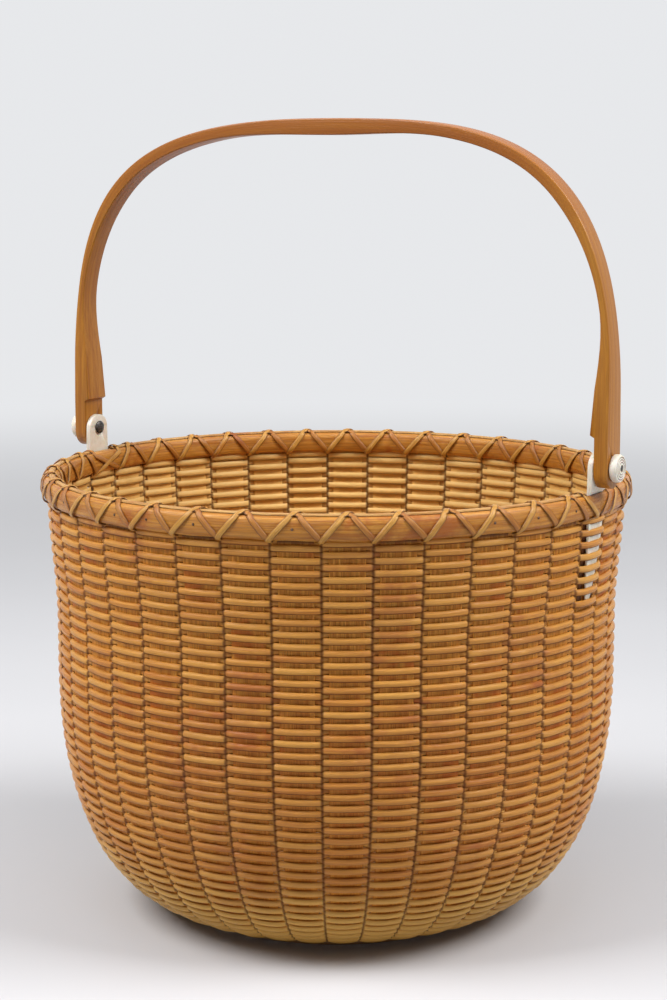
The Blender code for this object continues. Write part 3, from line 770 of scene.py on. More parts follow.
@dataclass(frozen=True)
class FibreFinish:
    """Wood or cane with its fibres along a piece, darkened in patches by age; where asked, with painted shade
    along a strip's long edges and darker in a band low on the wall.
    """

    name: str
    dark: Colour
    light: Colour
    aged: Colour
    line: Colour = (0.20, 0.065, 0.012)
    aged_cover: float = 0.25
    aged_scale: float = 18.0
    stretch: float = 30.0
    fineness: float = 900.0
    line_share: float = 0.35
    roughness: Pair = (0.36, 0.55)
    coat: float = 0.0
    relief: float = 0.00008
    shaded_edge_band: Pair | None = None
    gloss: float = 0.35
    shaded_edge_share: float = 0.7
    low_dark_share: float = 0.0
    low_dark_heights: tuple[float, ...] = (0.015, 0.05, 0.10, 0.20)

    def open(self) -> tuple[Shading, bpy.types.NodeSocket, Field, Field]:
        """Return the shading with its colour so far, its roughness and its height."""
        shading = Shading(
            self.name,
            Coat_Weight=self.coat,
            Coat_Roughness=0.25,
            Specular_IOR_Level=self.gloss,
        )
        bands, lines, roughness, height = shading.use(
            Effects.fibre(),
            Grain=shading.grain(),
            Stretch=self.stretch,
            Fineness=self.fineness,
            Smooth=self.roughness[0],
            Rough=self.roughness[1],
        )
        patches = shading.use(
            Effects.age(), Place=shading.place(), Scale=self.aged_scale, Cover=self.aged_cover
        )[0]
        colour = shading.mix(bands, self.dark, self.light)
        colour = shading.mix(lines * self.line_share, colour, self.line)
        colour = shading.mix(patches * 0.8, colour, self.aged)
        # Painted shade along a strip's two long edges.
        if self.shaded_edge_band:
            edge = shading.border(self.shaded_edge_band, self.shaded_edge_share)
            colour = shading.mix(edge, colour, self.line)
        # Darker in a band low on the wall.
        if self.low_dark_share:
            start, full, fade, end = self.low_dark_heights
            low_dark = shading.use(
                Effects.low_dark(),
                Place=shading.place(),
                Start=start,
                Full=full,
                Fade=fade,
                End=end,
                Share=self.low_dark_share,
            )[0]
            colour = shading.mix(low_dark, colour, self.aged)
        return shading, colour, roughness, height

    def material(self) -> bpy.types.Material:
        """Return the material."""
        shading, colour, roughness, height = self.open()
        return shading.finish(colour, roughness, height, self.relief)


@dataclass(frozen=True)
class WeaverFinish(FibreFinish):
    """Cane weaver: each pass has its own tone, and the strand is darkened where it dives between staves and along
    its lower edge, partly as dirt and partly as painted shade.
    """

    pale: Colour = (0.80, 0.43, 0.085)
    # Inner side: the paler split back of the cane, made brighter still as painted light for the inside of the
    # basket.
    back: Colour = (0.90, 0.56, 0.18)
    # Colour of that darkening: partly dirt, partly painted shade.
    crease: Colour = (0.10, 0.020, 0.001)
    back_depths: Pair = (-0.0006, -0.0003)
    # Across the strand's lower edge: where painted shade lies under each strand.
    shaded_lower_edge: Pair = (-0.0016, -0.0008)
    pale_foot: Pair = (0.02, 0.055)

    def material(self) -> bpy.types.Material:
        """Return the material."""
        shading, colour, roughness, relief = self.open()
        single = shading.add("ShaderNodeTexWhiteNoise", noise_dimensions="1D")
        shading.feed(single.inputs["W"], shading.kept("pass").rounded())
        tone = Field(shading, single.outputs["Value"])
        length = shading.vector(shading.kept("run"), 0.0, 0.0)
        slow = shading.noise(length, 1.1, 2.0).eased(0.3, 0.7)
        height = shading.parts(shading.place())[2]
        low, high = self.pale_foot
        straw = height.eased(low, high, 0.95, 0.12) + slow * 0.35 + (tone - 0.5) * 0.3
        colour = shading.mix(straw, colour, self.pale)
        # Paler inner side: partly the cane's own colour, partly painted light.
        back = shading.inner_side(self.back_depths, 0.95)
        colour = shading.mix(back, colour, self.back)
        # Painted shade, with some dirt, where the strand dives between staves and along its lower edge.
        darkening = shading.kept("sink").eased(0.6, 0.95, 0.0, 0.8)
        edge = shading.kept("across").eased(*self.shaded_lower_edge, 0.85, 0.0) * (1 - back * 0.5)
        darkening = shading.math("MAXIMUM", darkening, edge)
        colour = shading.mix(darkening, colour, self.crease)
        return shading.finish(colour, roughness + darkening * 0.45, relief, self.relief)


@dataclass(frozen=True)
class StaveFinish(FibreFinish):
    """Split stave: paler on its inner side, partly its own colour and partly painted light, with painted shade
    under the hoop and beside the ears' tails.
    """

    # Inner side: paler split wood, made brighter still as painted light for the inside of the basket.
    back: Colour = (0.95, 0.57, 0.16)
    back_depths: Pair = (-0.0002, 0.0002)
    # Colour of the painted shade under the hoop and beside the ears' tails.
    darkening: Colour = (0.07, 0.014, 0.001)
    hoop_foot: float = 1.0
    hoop_shadow_drop: float = 0.0024
    ear_staves: Pair = (0.0, 0.0)
    tail_foot: float = 1.0
    tail_edge: Pair = (0.0038, 0.0043)

    def material(self) -> bpy.types.Material:
        """Return the material."""
        shading, colour, roughness, relief = self.open()
        # Paler inner side: partly the wood's own colour, partly painted light.
        back = shading.inner_side(self.back_depths, 0.95)
        colour = shading.mix(back, colour, self.back)
        height = shading.parts(shading.place())[2]
        # Painted shadow of the hoop on the staves just below it.
        hoop_shadow = height.eased(self.hoop_foot - self.hoop_shadow_drop, self.hoop_foot, 0.0, 1.0)
        number = shading.kept("pass")
        at_ear = shading.math(
            "MAXIMUM", *(shading.math("COMPARE", number, ear, 0.5) for ear in self.ear_staves)
        )
        # Painted shade beside the ears' tails, where the strands stand off the stave.
        tail_shadow = shading.border(self.tail_edge, 1.0) * at_ear
        tail_shadow = tail_shadow * height.eased(self.tail_foot, self.tail_foot + 0.004, 0.0, 0.85)
        # The painted shade lies on the outer side only.
        darkening = shading.math("MAXIMUM", hoop_shadow, tail_shadow) * back.eased(0.0, 0.95, 1.0, 0.0)
        colour = shading.mix(darkening, colour, self.darkening)
        return shading.finish(colour, roughness, relief, self.relief)


@dataclass(frozen=True)
class HandleFinish(FibreFinish):
    """Bent wood, with painted shade at the top, where the side light only grazes it."""

    shaded_top_heights: Pair = (0.36, 0.42)
    shaded_top_share: float = 0.6

    def material(self) -> bpy.types.Material:
        """Return the material."""
        shading, colour, roughness, relief = self.open()
        height = shading.parts(shading.place())[2]
        # Painted shade over the top of the handle.
        top_shade = height.eased(*self.shaded_top_heights, 0.0, self.shaded_top_share)
        colour = shading.mix(top_shade, colour, self.aged)
        return shading.finish(colour, roughness, relief, self.relief)


@dataclass(frozen=True)
class TurnedFinish:
    """Turned wood: straight grain through the disc and faint rings from the tool."""

    name: str
    dark: Colour
    light: Colour

    def material(self) -> bpy.types.Material:
        """Return the material."""
        shading = Shading(self.name)
        x, y, z = shading.parts(shading.place())
        grain = shading.vector(x, y, z * 3)
        bands, lines, roughness, _ = shading.use(
            Effects.fibre(), Grain=grain, Stretch=14.0, Fineness=240.0, Smooth=0.42, Rough=0.6
        )
        radius = shading.math("SQRT", x * x + y * y)
        rings = (radius * 5200).sine()
        colour = shading.mix(bands, self.dark, self.light)
        colour = shading.mix(lines * 0.4, colour, self.dark)
        return shading.finish(colour, roughness, lines + rings * 0.15, 0.0001)


@dataclass(frozen=True)
class BoneFinish:
    """Polished bone: cream, mottled, with fine vertical pores."""

    name: str
    light: Colour
    shade: Colour
    pore: Colour
    roughness: Pair = (0.3, 0.46)
    relief: float = 0.00006

    def open(self) -> tuple[Shading, bpy.types.NodeSocket, list[Field]]:
        """Return the shading, its colour and its mottle, pores, roughness and height."""
        shading = Shading(self.name, Subsurface_Weight=0.12, Subsurface_Scale=0.002)
        smooth_share, rough_share = self.roughness
        fields = shading.use(
            Effects.bone(), Place=shading.place(), Smooth=smooth_share, Rough=rough_share
        )
        colour = shading.mix(fields[0] * 0.7, self.light, self.shade)
        colour = shading.mix(fields[1] * 0.45, colour, self.pore)
        return shading, colour, fields

    def material(self) -> bpy.types.Material:
        """Return the material."""
        shading, colour, (_, _, roughness, height) = self.open()
        return shading.finish(colour, roughness, height, self.relief)


@dataclass(frozen=True)
class KnobFinish(BoneFinish):
    """Turned bone, darker round its pin and in the rings that are cut round an axis along X."""

    axis: Pair = (0.0, 0.0)
    rings: tuple[float, ...] = ()
    ring_width: float = 0.0004
    centre_radius: float = 0.0021
    darkening: Colour = (0.16, 0.045, 0.02)

    def material(self) -> bpy.types.Material:
        """Return the material."""
        shading, colour, (mottle, _, roughness, height) = self.open()
        _, y, z = shading.parts(shading.place())
        y, z = y - self.axis[0], z - self.axis[1]
        radius = shading.math("SQRT", y * y + z * z)
        # Darker round the pin and in the cut rings.
        darkening = radius.eased(self.centre_radius * 0.8, self.centre_radius, 1.0, 0.0)
        for ring in self.rings:
            near = (radius - ring).size().eased(self.ring_width * 0.4, self.ring_width, 0.8, 0.0)
            darkening = shading.math("MAXIMUM", darkening, near)
        worn = mottle.eased(0.0, 1.0, 1.0, 0.6)
        colour = shading.mix(darkening * worn, colour, self.darkening)
        return shading.finish(colour, roughness, height, self.relief)


@dataclass(frozen=True)
class MetalFinish:
    """Aged metal: dark, with brighter rubbed patches laid by noise."""

    name: str
    dark: Colour
    rubbed: Colour

    def material(self) -> bpy.types.Material:
        """Return the material."""
        shading = Shading(self.name, Metallic=0.85)
        wear = shading.noise(shading.place(), 700.0, 4.0).eased(0.35, 0.7)
        colour = shading.mix(wear, self.dark, self.rubbed)
        roughness = wear.eased(0.0, 1.0, 0.55, 0.36)
        return shading.finish(colour, roughness, wear, 0.00005)


# Shared form


@dataclass(frozen=True)
class BasketForm:
    """Sizes and lines that several sub-assemblies share."""

    clearance: float = 0.0003
    stave_count: int = 39
    stave_thickness: float = 0.0010
    stave_width_share: float = 0.72
    base_radius: float = 0.0895
    groove_height: float = 0.0060
    groove_depth: float = 0.0080
    rim_height: float = 0.2405
    hoop_height: float = 0.0120
    mouth_radius: float = 0.1600
    outer_hoop_thickness: float = 0.0040
    inner_hoop_thickness: float = 0.0036
    filler_width: float = 0.0034
    filler_thickness: float = 0.0010
    rim_flare: float = 0.0042
    belly_drop: float = 0.1069
    flare_length: float = 0.0635
    foot_curve_share: float = 0.268
    belly_curve_share: float = 0.824
    curve_steps: int = 40
    flare_steps: int = 24
    pivot_rise: float = 0.0137
    ear_thickness: float = 0.0030
    tail_thickness: float = 0.0018
    tip_thickness: float = 0.0010
    tail_length: float = 0.0595

    @property
    def pitch(self) -> float:
        """Angle from one stave to the next."""
        return FULL_TURN / self.stave_count

    @property
    def ear_stave(self) -> int:
        """Number of the stave behind the left ear; the right ear's is 0."""
        return self.stave_count // 2

    @property
    def ear_angle(self) -> float:
        """Angle of the right ear's stave in front of the middle plane."""
        return (pi - self.ear_stave * self.pitch) / 2

    @property
    def hoop_foot(self) -> float:
        """Height of the hoops' lower edge."""
        return self.rim_height - self.hoop_height

    @property
    def belly_height(self) -> float:
        """Height where the wall stands upright."""
        return self.rim_height - self.belly_drop

    @property
    def pivot_height(self) -> float:
        """Height of the pivot."""
        return self.rim_height + self.pivot_rise

    @property
    def tail_end(self) -> float:
        """Height of the ears' lower tips."""
        return self.rim_height - self.tail_length

    @property
    def hoop_inner_face(self) -> float:
        """Radius of the outer hoop's inner face."""
        return self.mouth_radius - self.outer_hoop_thickness

    @property
    def head_radius(self) -> float:
        """Radius of the staves' middle line at the rim."""
        corner = (self.hoop_inner_face - self.clearance) * cos(self.pitch / 4)
        half_width = self.stave_width(corner) / 2
        return sqrt(corner**2 - half_width**2) - self.stave_thickness / 2

    @property
    def inner_hoop_face(self) -> float:
        """Radius of the inner hoop's outer face."""
        return self.head_radius - self.stave_thickness / 2 - self.clearance

    @property
    def filler_middle(self) -> float:
        """Radius of the middle of the fillers."""
        return (self.inner_hoop_face + self.hoop_inner_face) / 2

    @property
    def ear_distance(self) -> float:
        """Distance of the ears' inner faces from the middle plane."""
        face = self.head_radius + self.stave_thickness / 2
        corner = self.stave_width(self.head_radius) / 2
        return face * cos(self.ear_angle) + corner * sin(self.ear_angle) + self.clearance

    @property
    def pivot_y(self) -> float:
        """Place of the pivot axis along Y."""
        return -self.head_radius * sin(self.ear_angle)

    @property
    def lap_distance(self) -> float:
        """Distance of the handle's lap faces from the middle plane."""
        return self.ear_distance + self.ear_thickness + self.clearance

    def stave_angle(self, index: float) -> float:
        """Return the angle of a stave, counted from the right ear round the front."""
        return -self.ear_angle - index * self.pitch

    def stave_width(self, radius: float) -> float:
        """Return a stave's width at a radius."""
        return self.stave_width_share * self.pitch * radius

    def flare_radius(self, height: float) -> float:
        """Return the radius of the staves' line above the belly."""
        share = (height - self.hoop_foot) / self.flare_length + 1
        return self.head_radius - self.rim_flare * (1 - smooth(share))

    def stave_line(self) -> list[Vector]:
        """Return the staves' middle line from the base's groove to the rim, in the XZ plane."""
        start = Vector((self.base_radius + self.clearance, 0, self.groove_height))
        end = Vector((self.head_radius - self.rim_flare, 0, self.belly_height))
        foot = start + Vector(((end.x - start.x) * self.foot_curve_share, 0, 0))
        belly = end - Vector((0, 0, (end.z - start.z) * self.belly_curve_share))
        line = [start - Vector((self.groove_depth, 0, 0))]
        steps = self.curve_steps
        line += [cubic((start, foot, belly, end), k / steps) for k in range(steps + 1)]
        climb = self.hoop_foot - self.belly_height
        for k in range(1, self.flare_steps + 1):
            height = self.belly_height + climb * k / self.flare_steps
            line.append(Vector((self.flare_radius(height), 0, height)))
        line.append(Vector((self.head_radius, 0, self.rim_height)))
        return line

    def run_at_height(self, height: float) -> float:
        """Return the length of the staves' line up to a height above its foot."""
        line = self.stave_line()
        run = 0.0
        for low, high in zip(line, line[1:]):
            if low.z < height <= high.z:
                return run + (high - low).length * (height - low.z) / (high.z - low.z)
            run += (high - low).length
        return run

    def around(self, angle: float, radius: float, height: float) -> Vector:
        """Return the point at an angle, radius and height."""
        return Vector((radius * cos(angle), radius * sin(angle), height))


# Sub-assemblies


@dataclass
class TurnedBase:
    """Turned wooden base with round edges and cut rings."""

    form: BasketForm
    height: float = 0.0114
    edge_round: float = 0.0026
    edge_steps: int = 6
    ring_radius: float = 0.0700
    ring_width: float = 0.0050
    ring_depth: float = 0.0012
    ring_steps: int = 6
    facets: int = 128
    finish: TurnedFinish = TurnedFinish("turned_base", (0.26, 0.115, 0.04), (0.46, 0.23, 0.09))

    def edge(self, low: bool) -> list[Pair]:
        """Return the round corner of one face, from the face to the side."""
        radius = self.form.base_radius - self.edge_round
        corner = []
        for k in range(self.edge_steps + 1):
            turned = QUARTER_TURN * k / self.edge_steps
            along = self.edge_round * (1 - cos(turned))
            corner.append((along if low else self.height - along, radius + self.edge_round * sin(turned)))
        return corner

    def cut_ring(self, low: bool) -> list[Pair]:
        """Return the round groove of one face, from the middle outwards."""
        points = []
        for k in range(self.ring_steps + 1):
            share = 2 * k / self.ring_steps - 1
            deep = self.ring_depth * (1 - share**2)
            points.append(
                (deep if low else self.height - deep, self.ring_radius + share * self.ring_width / 2)
            )
        return points

    def outline(self) -> list[Pair]:
        """Return the outline from the middle of the underside to the middle of the top."""
        form = self.form
        half_groove = form.stave_thickness / 2 + form.clearance
        floor = form.base_radius - form.groove_depth
        groove = [
            (form.groove_height - half_groove, form.base_radius),
            (form.groove_height - half_groove, floor),
            (form.groove_height + half_groove, floor),
            (form.groove_height + half_groove, form.base_radius),
        ]
        under = [(0.0, 0.0), *self.cut_ring(True), *self.edge(True)]
        top = [*self.edge(False)[::-1], *self.cut_ring(False)[::-1], (self.height, 0.0)]
        return under + groove + top

    def build(self) -> None:
        """Turn the base and place it."""
        lathe = Lathe(Vector(), Vector((0, 0, 1)), Vector((1, 0, 0)), self.facets)
        piece = lathe.turn("turned_base", self.outline())
        place_piece(piece, Body.BASKET, Slot.BASE, ["base_disc"], self.finish.material())


@dataclass
class StaveRing:
    """The flat wooden staves, one swept and the rest set round the basket."""

    form: BasketForm
    spacing: float = 0.0045
    finish: StaveFinish = StaveFinish(
        "stave_oak",
        dark=(0.64, 0.215, 0.014),
        light=(0.94, 0.43, 0.052),
        aged=(0.56, 0.13, 0.007),
        line=(0.12, 0.024, 0.002),
        aged_cover=0.32,
        low_dark_share=0.38,
        aged_scale=26.0,
        stretch=26.0,
        fineness=800.0,
        line_share=0.5,
        roughness=(0.45, 0.65),
    )

    def tree(self) -> FormTree:
        """Return the tree that sweeps a stave and sets it round the basket."""
        tree = FormTree(
            "stave_ring",
            {
                "Staves": Socket.COUNT,
                "First Angle": Socket.NUMBER,
                "Spacing": Socket.NUMBER,
                "Width per Radius": Socket.NUMBER,
                "Foot Radius": Socket.NUMBER,
                "Section": Socket.OBJECT,
            },
        )
        line = tree.add("GeometryNodeMeshToCurve", {"Mesh": tree.given("Geometry")})
        curve = tree.add(
            "GeometryNodeResampleCurve",
            {"Curve": line.outputs[0], "Length": tree.given("Spacing")},
            mode="LENGTH",
        ).outputs[0]
        spline = tree.add("GeometryNodeSplineParameter")
        curve = tree.store(curve, "run", spline.outputs["Length"])
        run_x, _, run_z = tree.parts(tree.add("GeometryNodeInputTangent").outputs[0])
        skin = tree.sweep(curve, tree.vector(run_z, 0.0, run_x * -1), tree.section("Section"))
        x, y, z = tree.parts(tree.add("GeometryNodeInputPosition").outputs[0])
        width = tree.math("MAXIMUM", x, tree.given("Foot Radius")) * tree.given("Width per Radius")
        wide = tree.add(
            "GeometryNodeSetPosition", {"Geometry": skin, "Position": tree.vector(x, y * width, z)}
        )
        spots = tree.add("GeometryNodePoints", {"Count": tree.given("Staves")})
        number = Field(tree, tree.add("GeometryNodeInputIndex").outputs[0])
        turned = tree.given("First Angle") - number * FULL_TURN / tree.given("Staves")
        ring = tree.add(
            "GeometryNodeInstanceOnPoints",
            {
                "Points": spots.outputs[0],
                "Instance": wide.outputs[0],
                "Rotation": tree.vector(0.0, 0.0, turned),
            },
        )
        tree.close(tree.store(ring.outputs[0], "pass", number, "INSTANCE"))
        return tree

    def build(self) -> None:
        """Build the staves and place them."""
        form = self.form
        half = form.stave_thickness / 2
        ease, lip = half * 0.6, 0.94
        outline = (
            (half, -lip), (half, 0.0), (half, lip), (half - ease, 1.0),
            (ease - half, 1.0), (-half, lip), (-half, -lip), (ease - half, -1.0),
            (half - ease, -1.0),
        )
        section = section_object("stave_section", outline, 0.0087)
        ears = (0.0, float(form.ear_stave))
        finish = replace(
            self.finish, hoop_foot=form.hoop_foot, ear_staves=ears, tail_foot=form.tail_end
        )
        piece = self.tree().run(
            "staves",
            chain("stave_line", form.stave_line()),
            {
                "Staves": form.stave_count,
                "First Angle": form.stave_angle(0),
                "Spacing": self.spacing,
                "Width per Radius": form.stave_width_share * form.pitch / 2,
                "Foot Radius": form.base_radius,
                "Section": section,
                "Finish": finish.material(),
            },
        )
        bpy.data.objects.remove(section)
        nodes = [f"stave_{index + 1:02d}" for index in range(form.stave_count)]
        place_piece(piece, Body.BASKET, Slot.STAVE, nodes)


@dataclass
class WovenWall:
    """One cane weaver that goes round and round, over one stave and under the next."""

    form: BasketForm
    row_spacing: float = 0.0030
    spacing_ease: float = 0.05
    strand_height: float = 0.0033
    face_height: float = 0.00105
    back_depth: float = 0.00065
    wave_depth: float = 0.00172
    flat_top: float = 0.5
    crowding: float = 0.10
    points_per_stave: int = 8
    wander: float = 0.00055
    packing: float = 0.16
    foot_margin: float = 0.0016
    head_margin: float = 0.0013
    cut_shares: tuple[float, ...] = (0.0, 0.34, 0.67, 1.0)
    part_names: tuple[str, ...] = ("weaver_lower", "weaver_middle", "weaver_upper")
    finish: WeaverFinish = WeaverFinish(
        "weaver_cane",
        dark=(0.48, 0.145, 0.009),
        light=(0.74, 0.305, 0.034),
        aged=(0.38, 0.08, 0.005),
        line=(0.28, 0.07, 0.004),
        aged_cover=0.32,
        low_dark_share=0.26,
        aged_scale=22.0,
        stretch=40.0,
        fineness=1300.0,
        line_share=0.3,
        roughness=(0.32, 0.5),
        coat=0.1,
    )

    def section(self) -> bpy.types.Object:
        """Return the strand's section: round face, flat back."""
        half, face, back = self.strand_height / 2, self.face_height, self.back_depth
        outline = (
            (face, -0.24 * half), (face, 0.24 * half), (0.80 * face, 0.62 * half),
            (0.30 * face, 0.90 * half), (-0.30 * back, 1.12 * half), (-back, 1.06 * half),
            (-back, -1.06 * half), (-0.30 * back, -1.12 * half), (0.30 * face, -0.90 * half),
            (0.80 * face, -0.62 * half),
        )
        return section_object("strand_section", outline)

    def tree(self) -> FormTree:
        """Return the tree that leads the strand round the staves."""
        tree = FormTree(
            "weaver_path",
            {
                "Staves": Socket.COUNT,
                "Points per Stave": Socket.COUNT,
                "Turns": Socket.COUNT,
                "First Turn": Socket.COUNT,
                "Last Turn": Socket.COUNT,
                "First Angle": Socket.NUMBER,
                "Start Run": Socket.NUMBER,
                "End Run": Socket.NUMBER,
                "Spacing Ease": Socket.NUMBER,
                "Wave Depth": Socket.NUMBER,
                "Flat Top": Socket.NUMBER,
                "Crowding": Socket.NUMBER,
                "Wander": Socket.NUMBER,
                "Packing": Socket.NUMBER,
                "Ear Stave": Socket.NUMBER,
                "Tail Foot": Socket.NUMBER,
                "Tail Head": Socket.NUMBER,
                "Foot Lift": Socket.NUMBER,
                "Head Lift": Socket.NUMBER,
                "Section": Socket.OBJECT,
            },
        )
        given = tree.given
        staves, first = given("Staves"), given("First Turn")
        count = (given("Last Turn") - first) * staves * given("Points per Stave") + 1
        steps = Field(tree, tree.add("GeometryNodeInputIndex").outputs[0]) / given("Points per Stave")
        passes = first * staves + steps + given("Crowding") * (steps * FULL_TURN).sine()
        nearest = passes.rounded()
        off_middle = passes - nearest
        share = passes / (given("Turns") * staves)
        angle = given("First Angle") - passes * FULL_TURN / staves
        east, north = angle.cosine(), angle.sine()

        ease = given("Spacing Ease")
        start, reach = given("Start Run"), given("End Run") - given("Start Run")
        even = start + reach * share * (1 - ease + ease * share)
        shared_drift = tree.noise(tree.vector(east * 1.6, north * 1.6, even * 16), 1.0) - 0.5
        own_drift = tree.noise(tree.vector(passes * 0.9, share * 500, 0.0), 1.0) - 0.5
        hold = tree.math("MINIMUM", even - start, start + reach - even).eased(0.0, 0.006)
        run = even + given("Wander") * (shared_drift * 2.4 + own_drift * 1.3) * hold
        run = tree.math("MINIMUM", run, given("End Run"))

        line = tree.add("GeometryNodeMeshToCurve", {"Mesh": given("Geometry")})
        spot = tree.add(
            "GeometryNodeSampleCurve", {"Curves": line.outputs[0], "Length": run}, mode="LENGTH"
        )
        line_x, _, line_z = tree.parts(spot.outputs["Position"])
        run_x, _, run_z = tree.parts(spot.outputs["Tangent"])

        over = (passes * pi).cosine()
        swing = tree.math("SIGN", over) * tree.math("POWER", over.size(), given("Flat Top"))
        own_depth = tree.noise(tree.vector(passes * 0.35, share * 700, 3.0), 1.0) - 0.5
        wave = given("Wave Depth") * swing * (1 + own_depth * 0.35)
        number = nearest % staves
        at_ear = tree.math(
            "MAXIMUM",
            tree.math("COMPARE", number, 0.0, 0.5),
            tree.math("COMPARE", number, given("Ear Stave"), 0.5),
        )
        foot, head = given("Tail Foot"), given("Tail Head")
        lift = line_z.eased(foot, head, given("Foot Lift"), given("Head Lift"))
        lift = lift * at_ear * tree.math("GREATER_THAN", over, 0.0)
        lift = lift * off_middle.size().eased(0.26, 0.48, 1.0, 0.0)
        lift = lift * line_z.eased(foot - 0.004, foot + 0.001)
        depth = wave + lift

        flat = (off_middle * FULL_TURN / staves).cosine()
        radius = line_x / flat + depth * run_z
        height = line_z - depth * run_x
        position = tree.vector(radius * east, radius * north, height)
        outward = tree.vector(run_z * east, run_z * north, run_x * -1)

        points = tree.add("GeometryNodeMeshLine", {"Count": count})
        path = tree.add("GeometryNodeMeshToCurve", {"Mesh": points.outputs[0]})
        path = tree.add(
            "GeometryNodeSetPosition", {"Geometry": path.outputs[0], "Position": position}
        ).outputs[0]
        path = tree.store(path, "run", passes * FULL_TURN / staves * 0.14)
        path = tree.store(path, "pass", passes)
        sink = 1 - swing.size()
        path = tree.store(path, "sink", sink)
        girth = 1 + given("Packing") * sink
        tree.close(tree.sweep(path, outward, tree.section("Section"), girth))
        return tree

    def build(self) -> None:
        """Weave the wall in three lengths and place them."""
        form = self.form
        line = form.stave_line()
        start = form.groove_depth + self.foot_margin
        end = form.run_at_height(form.hoop_foot - self.head_margin)
        turns = round((end - start) / self.row_spacing)
        section, tree = self.section(), self.tree()
        values = {
            "Staves": form.stave_count,
            "Points per Stave": self.points_per_stave,
            "Turns": turns,
            "First Angle": form.stave_angle(0),
            "Start Run": start,
            "End Run": end,
            "Spacing Ease": self.spacing_ease,
            "Wave Depth": self.wave_depth,
            "Flat Top": self.flat_top,
            "Crowding": self.crowding,
            "Wander": self.wander,
            "Packing": self.packing,
            "Ear Stave": float(form.ear_stave),
            "Tail Foot": form.tail_end,
            "Tail Head": form.hoop_foot,
            "Foot Lift": form.tip_thickness + form.clearance,
            "Head Lift": form.tail_thickness + form.clearance,
            "Section": section,
            "Finish": self.finish.material(),
        }
        cuts = [round(turns * share / 2) * 2 + (0 < share < 1) for share in self.cut_shares]
        cuts[-1] = turns + 1
        for name, first, last in zip(self.part_names, cuts, cuts[1:]):
            mesh = chain("stave_line", line)
            piece = tree.run(name, mesh, {**values, "First Turn": first, "Last Turn": last})
            place_piece(piece, Body.BASKET, Slot.WEAVER, ["woven_wall"])
        bpy.data.objects.remove(section)
        log.info("woven wall: %d turns", turns)


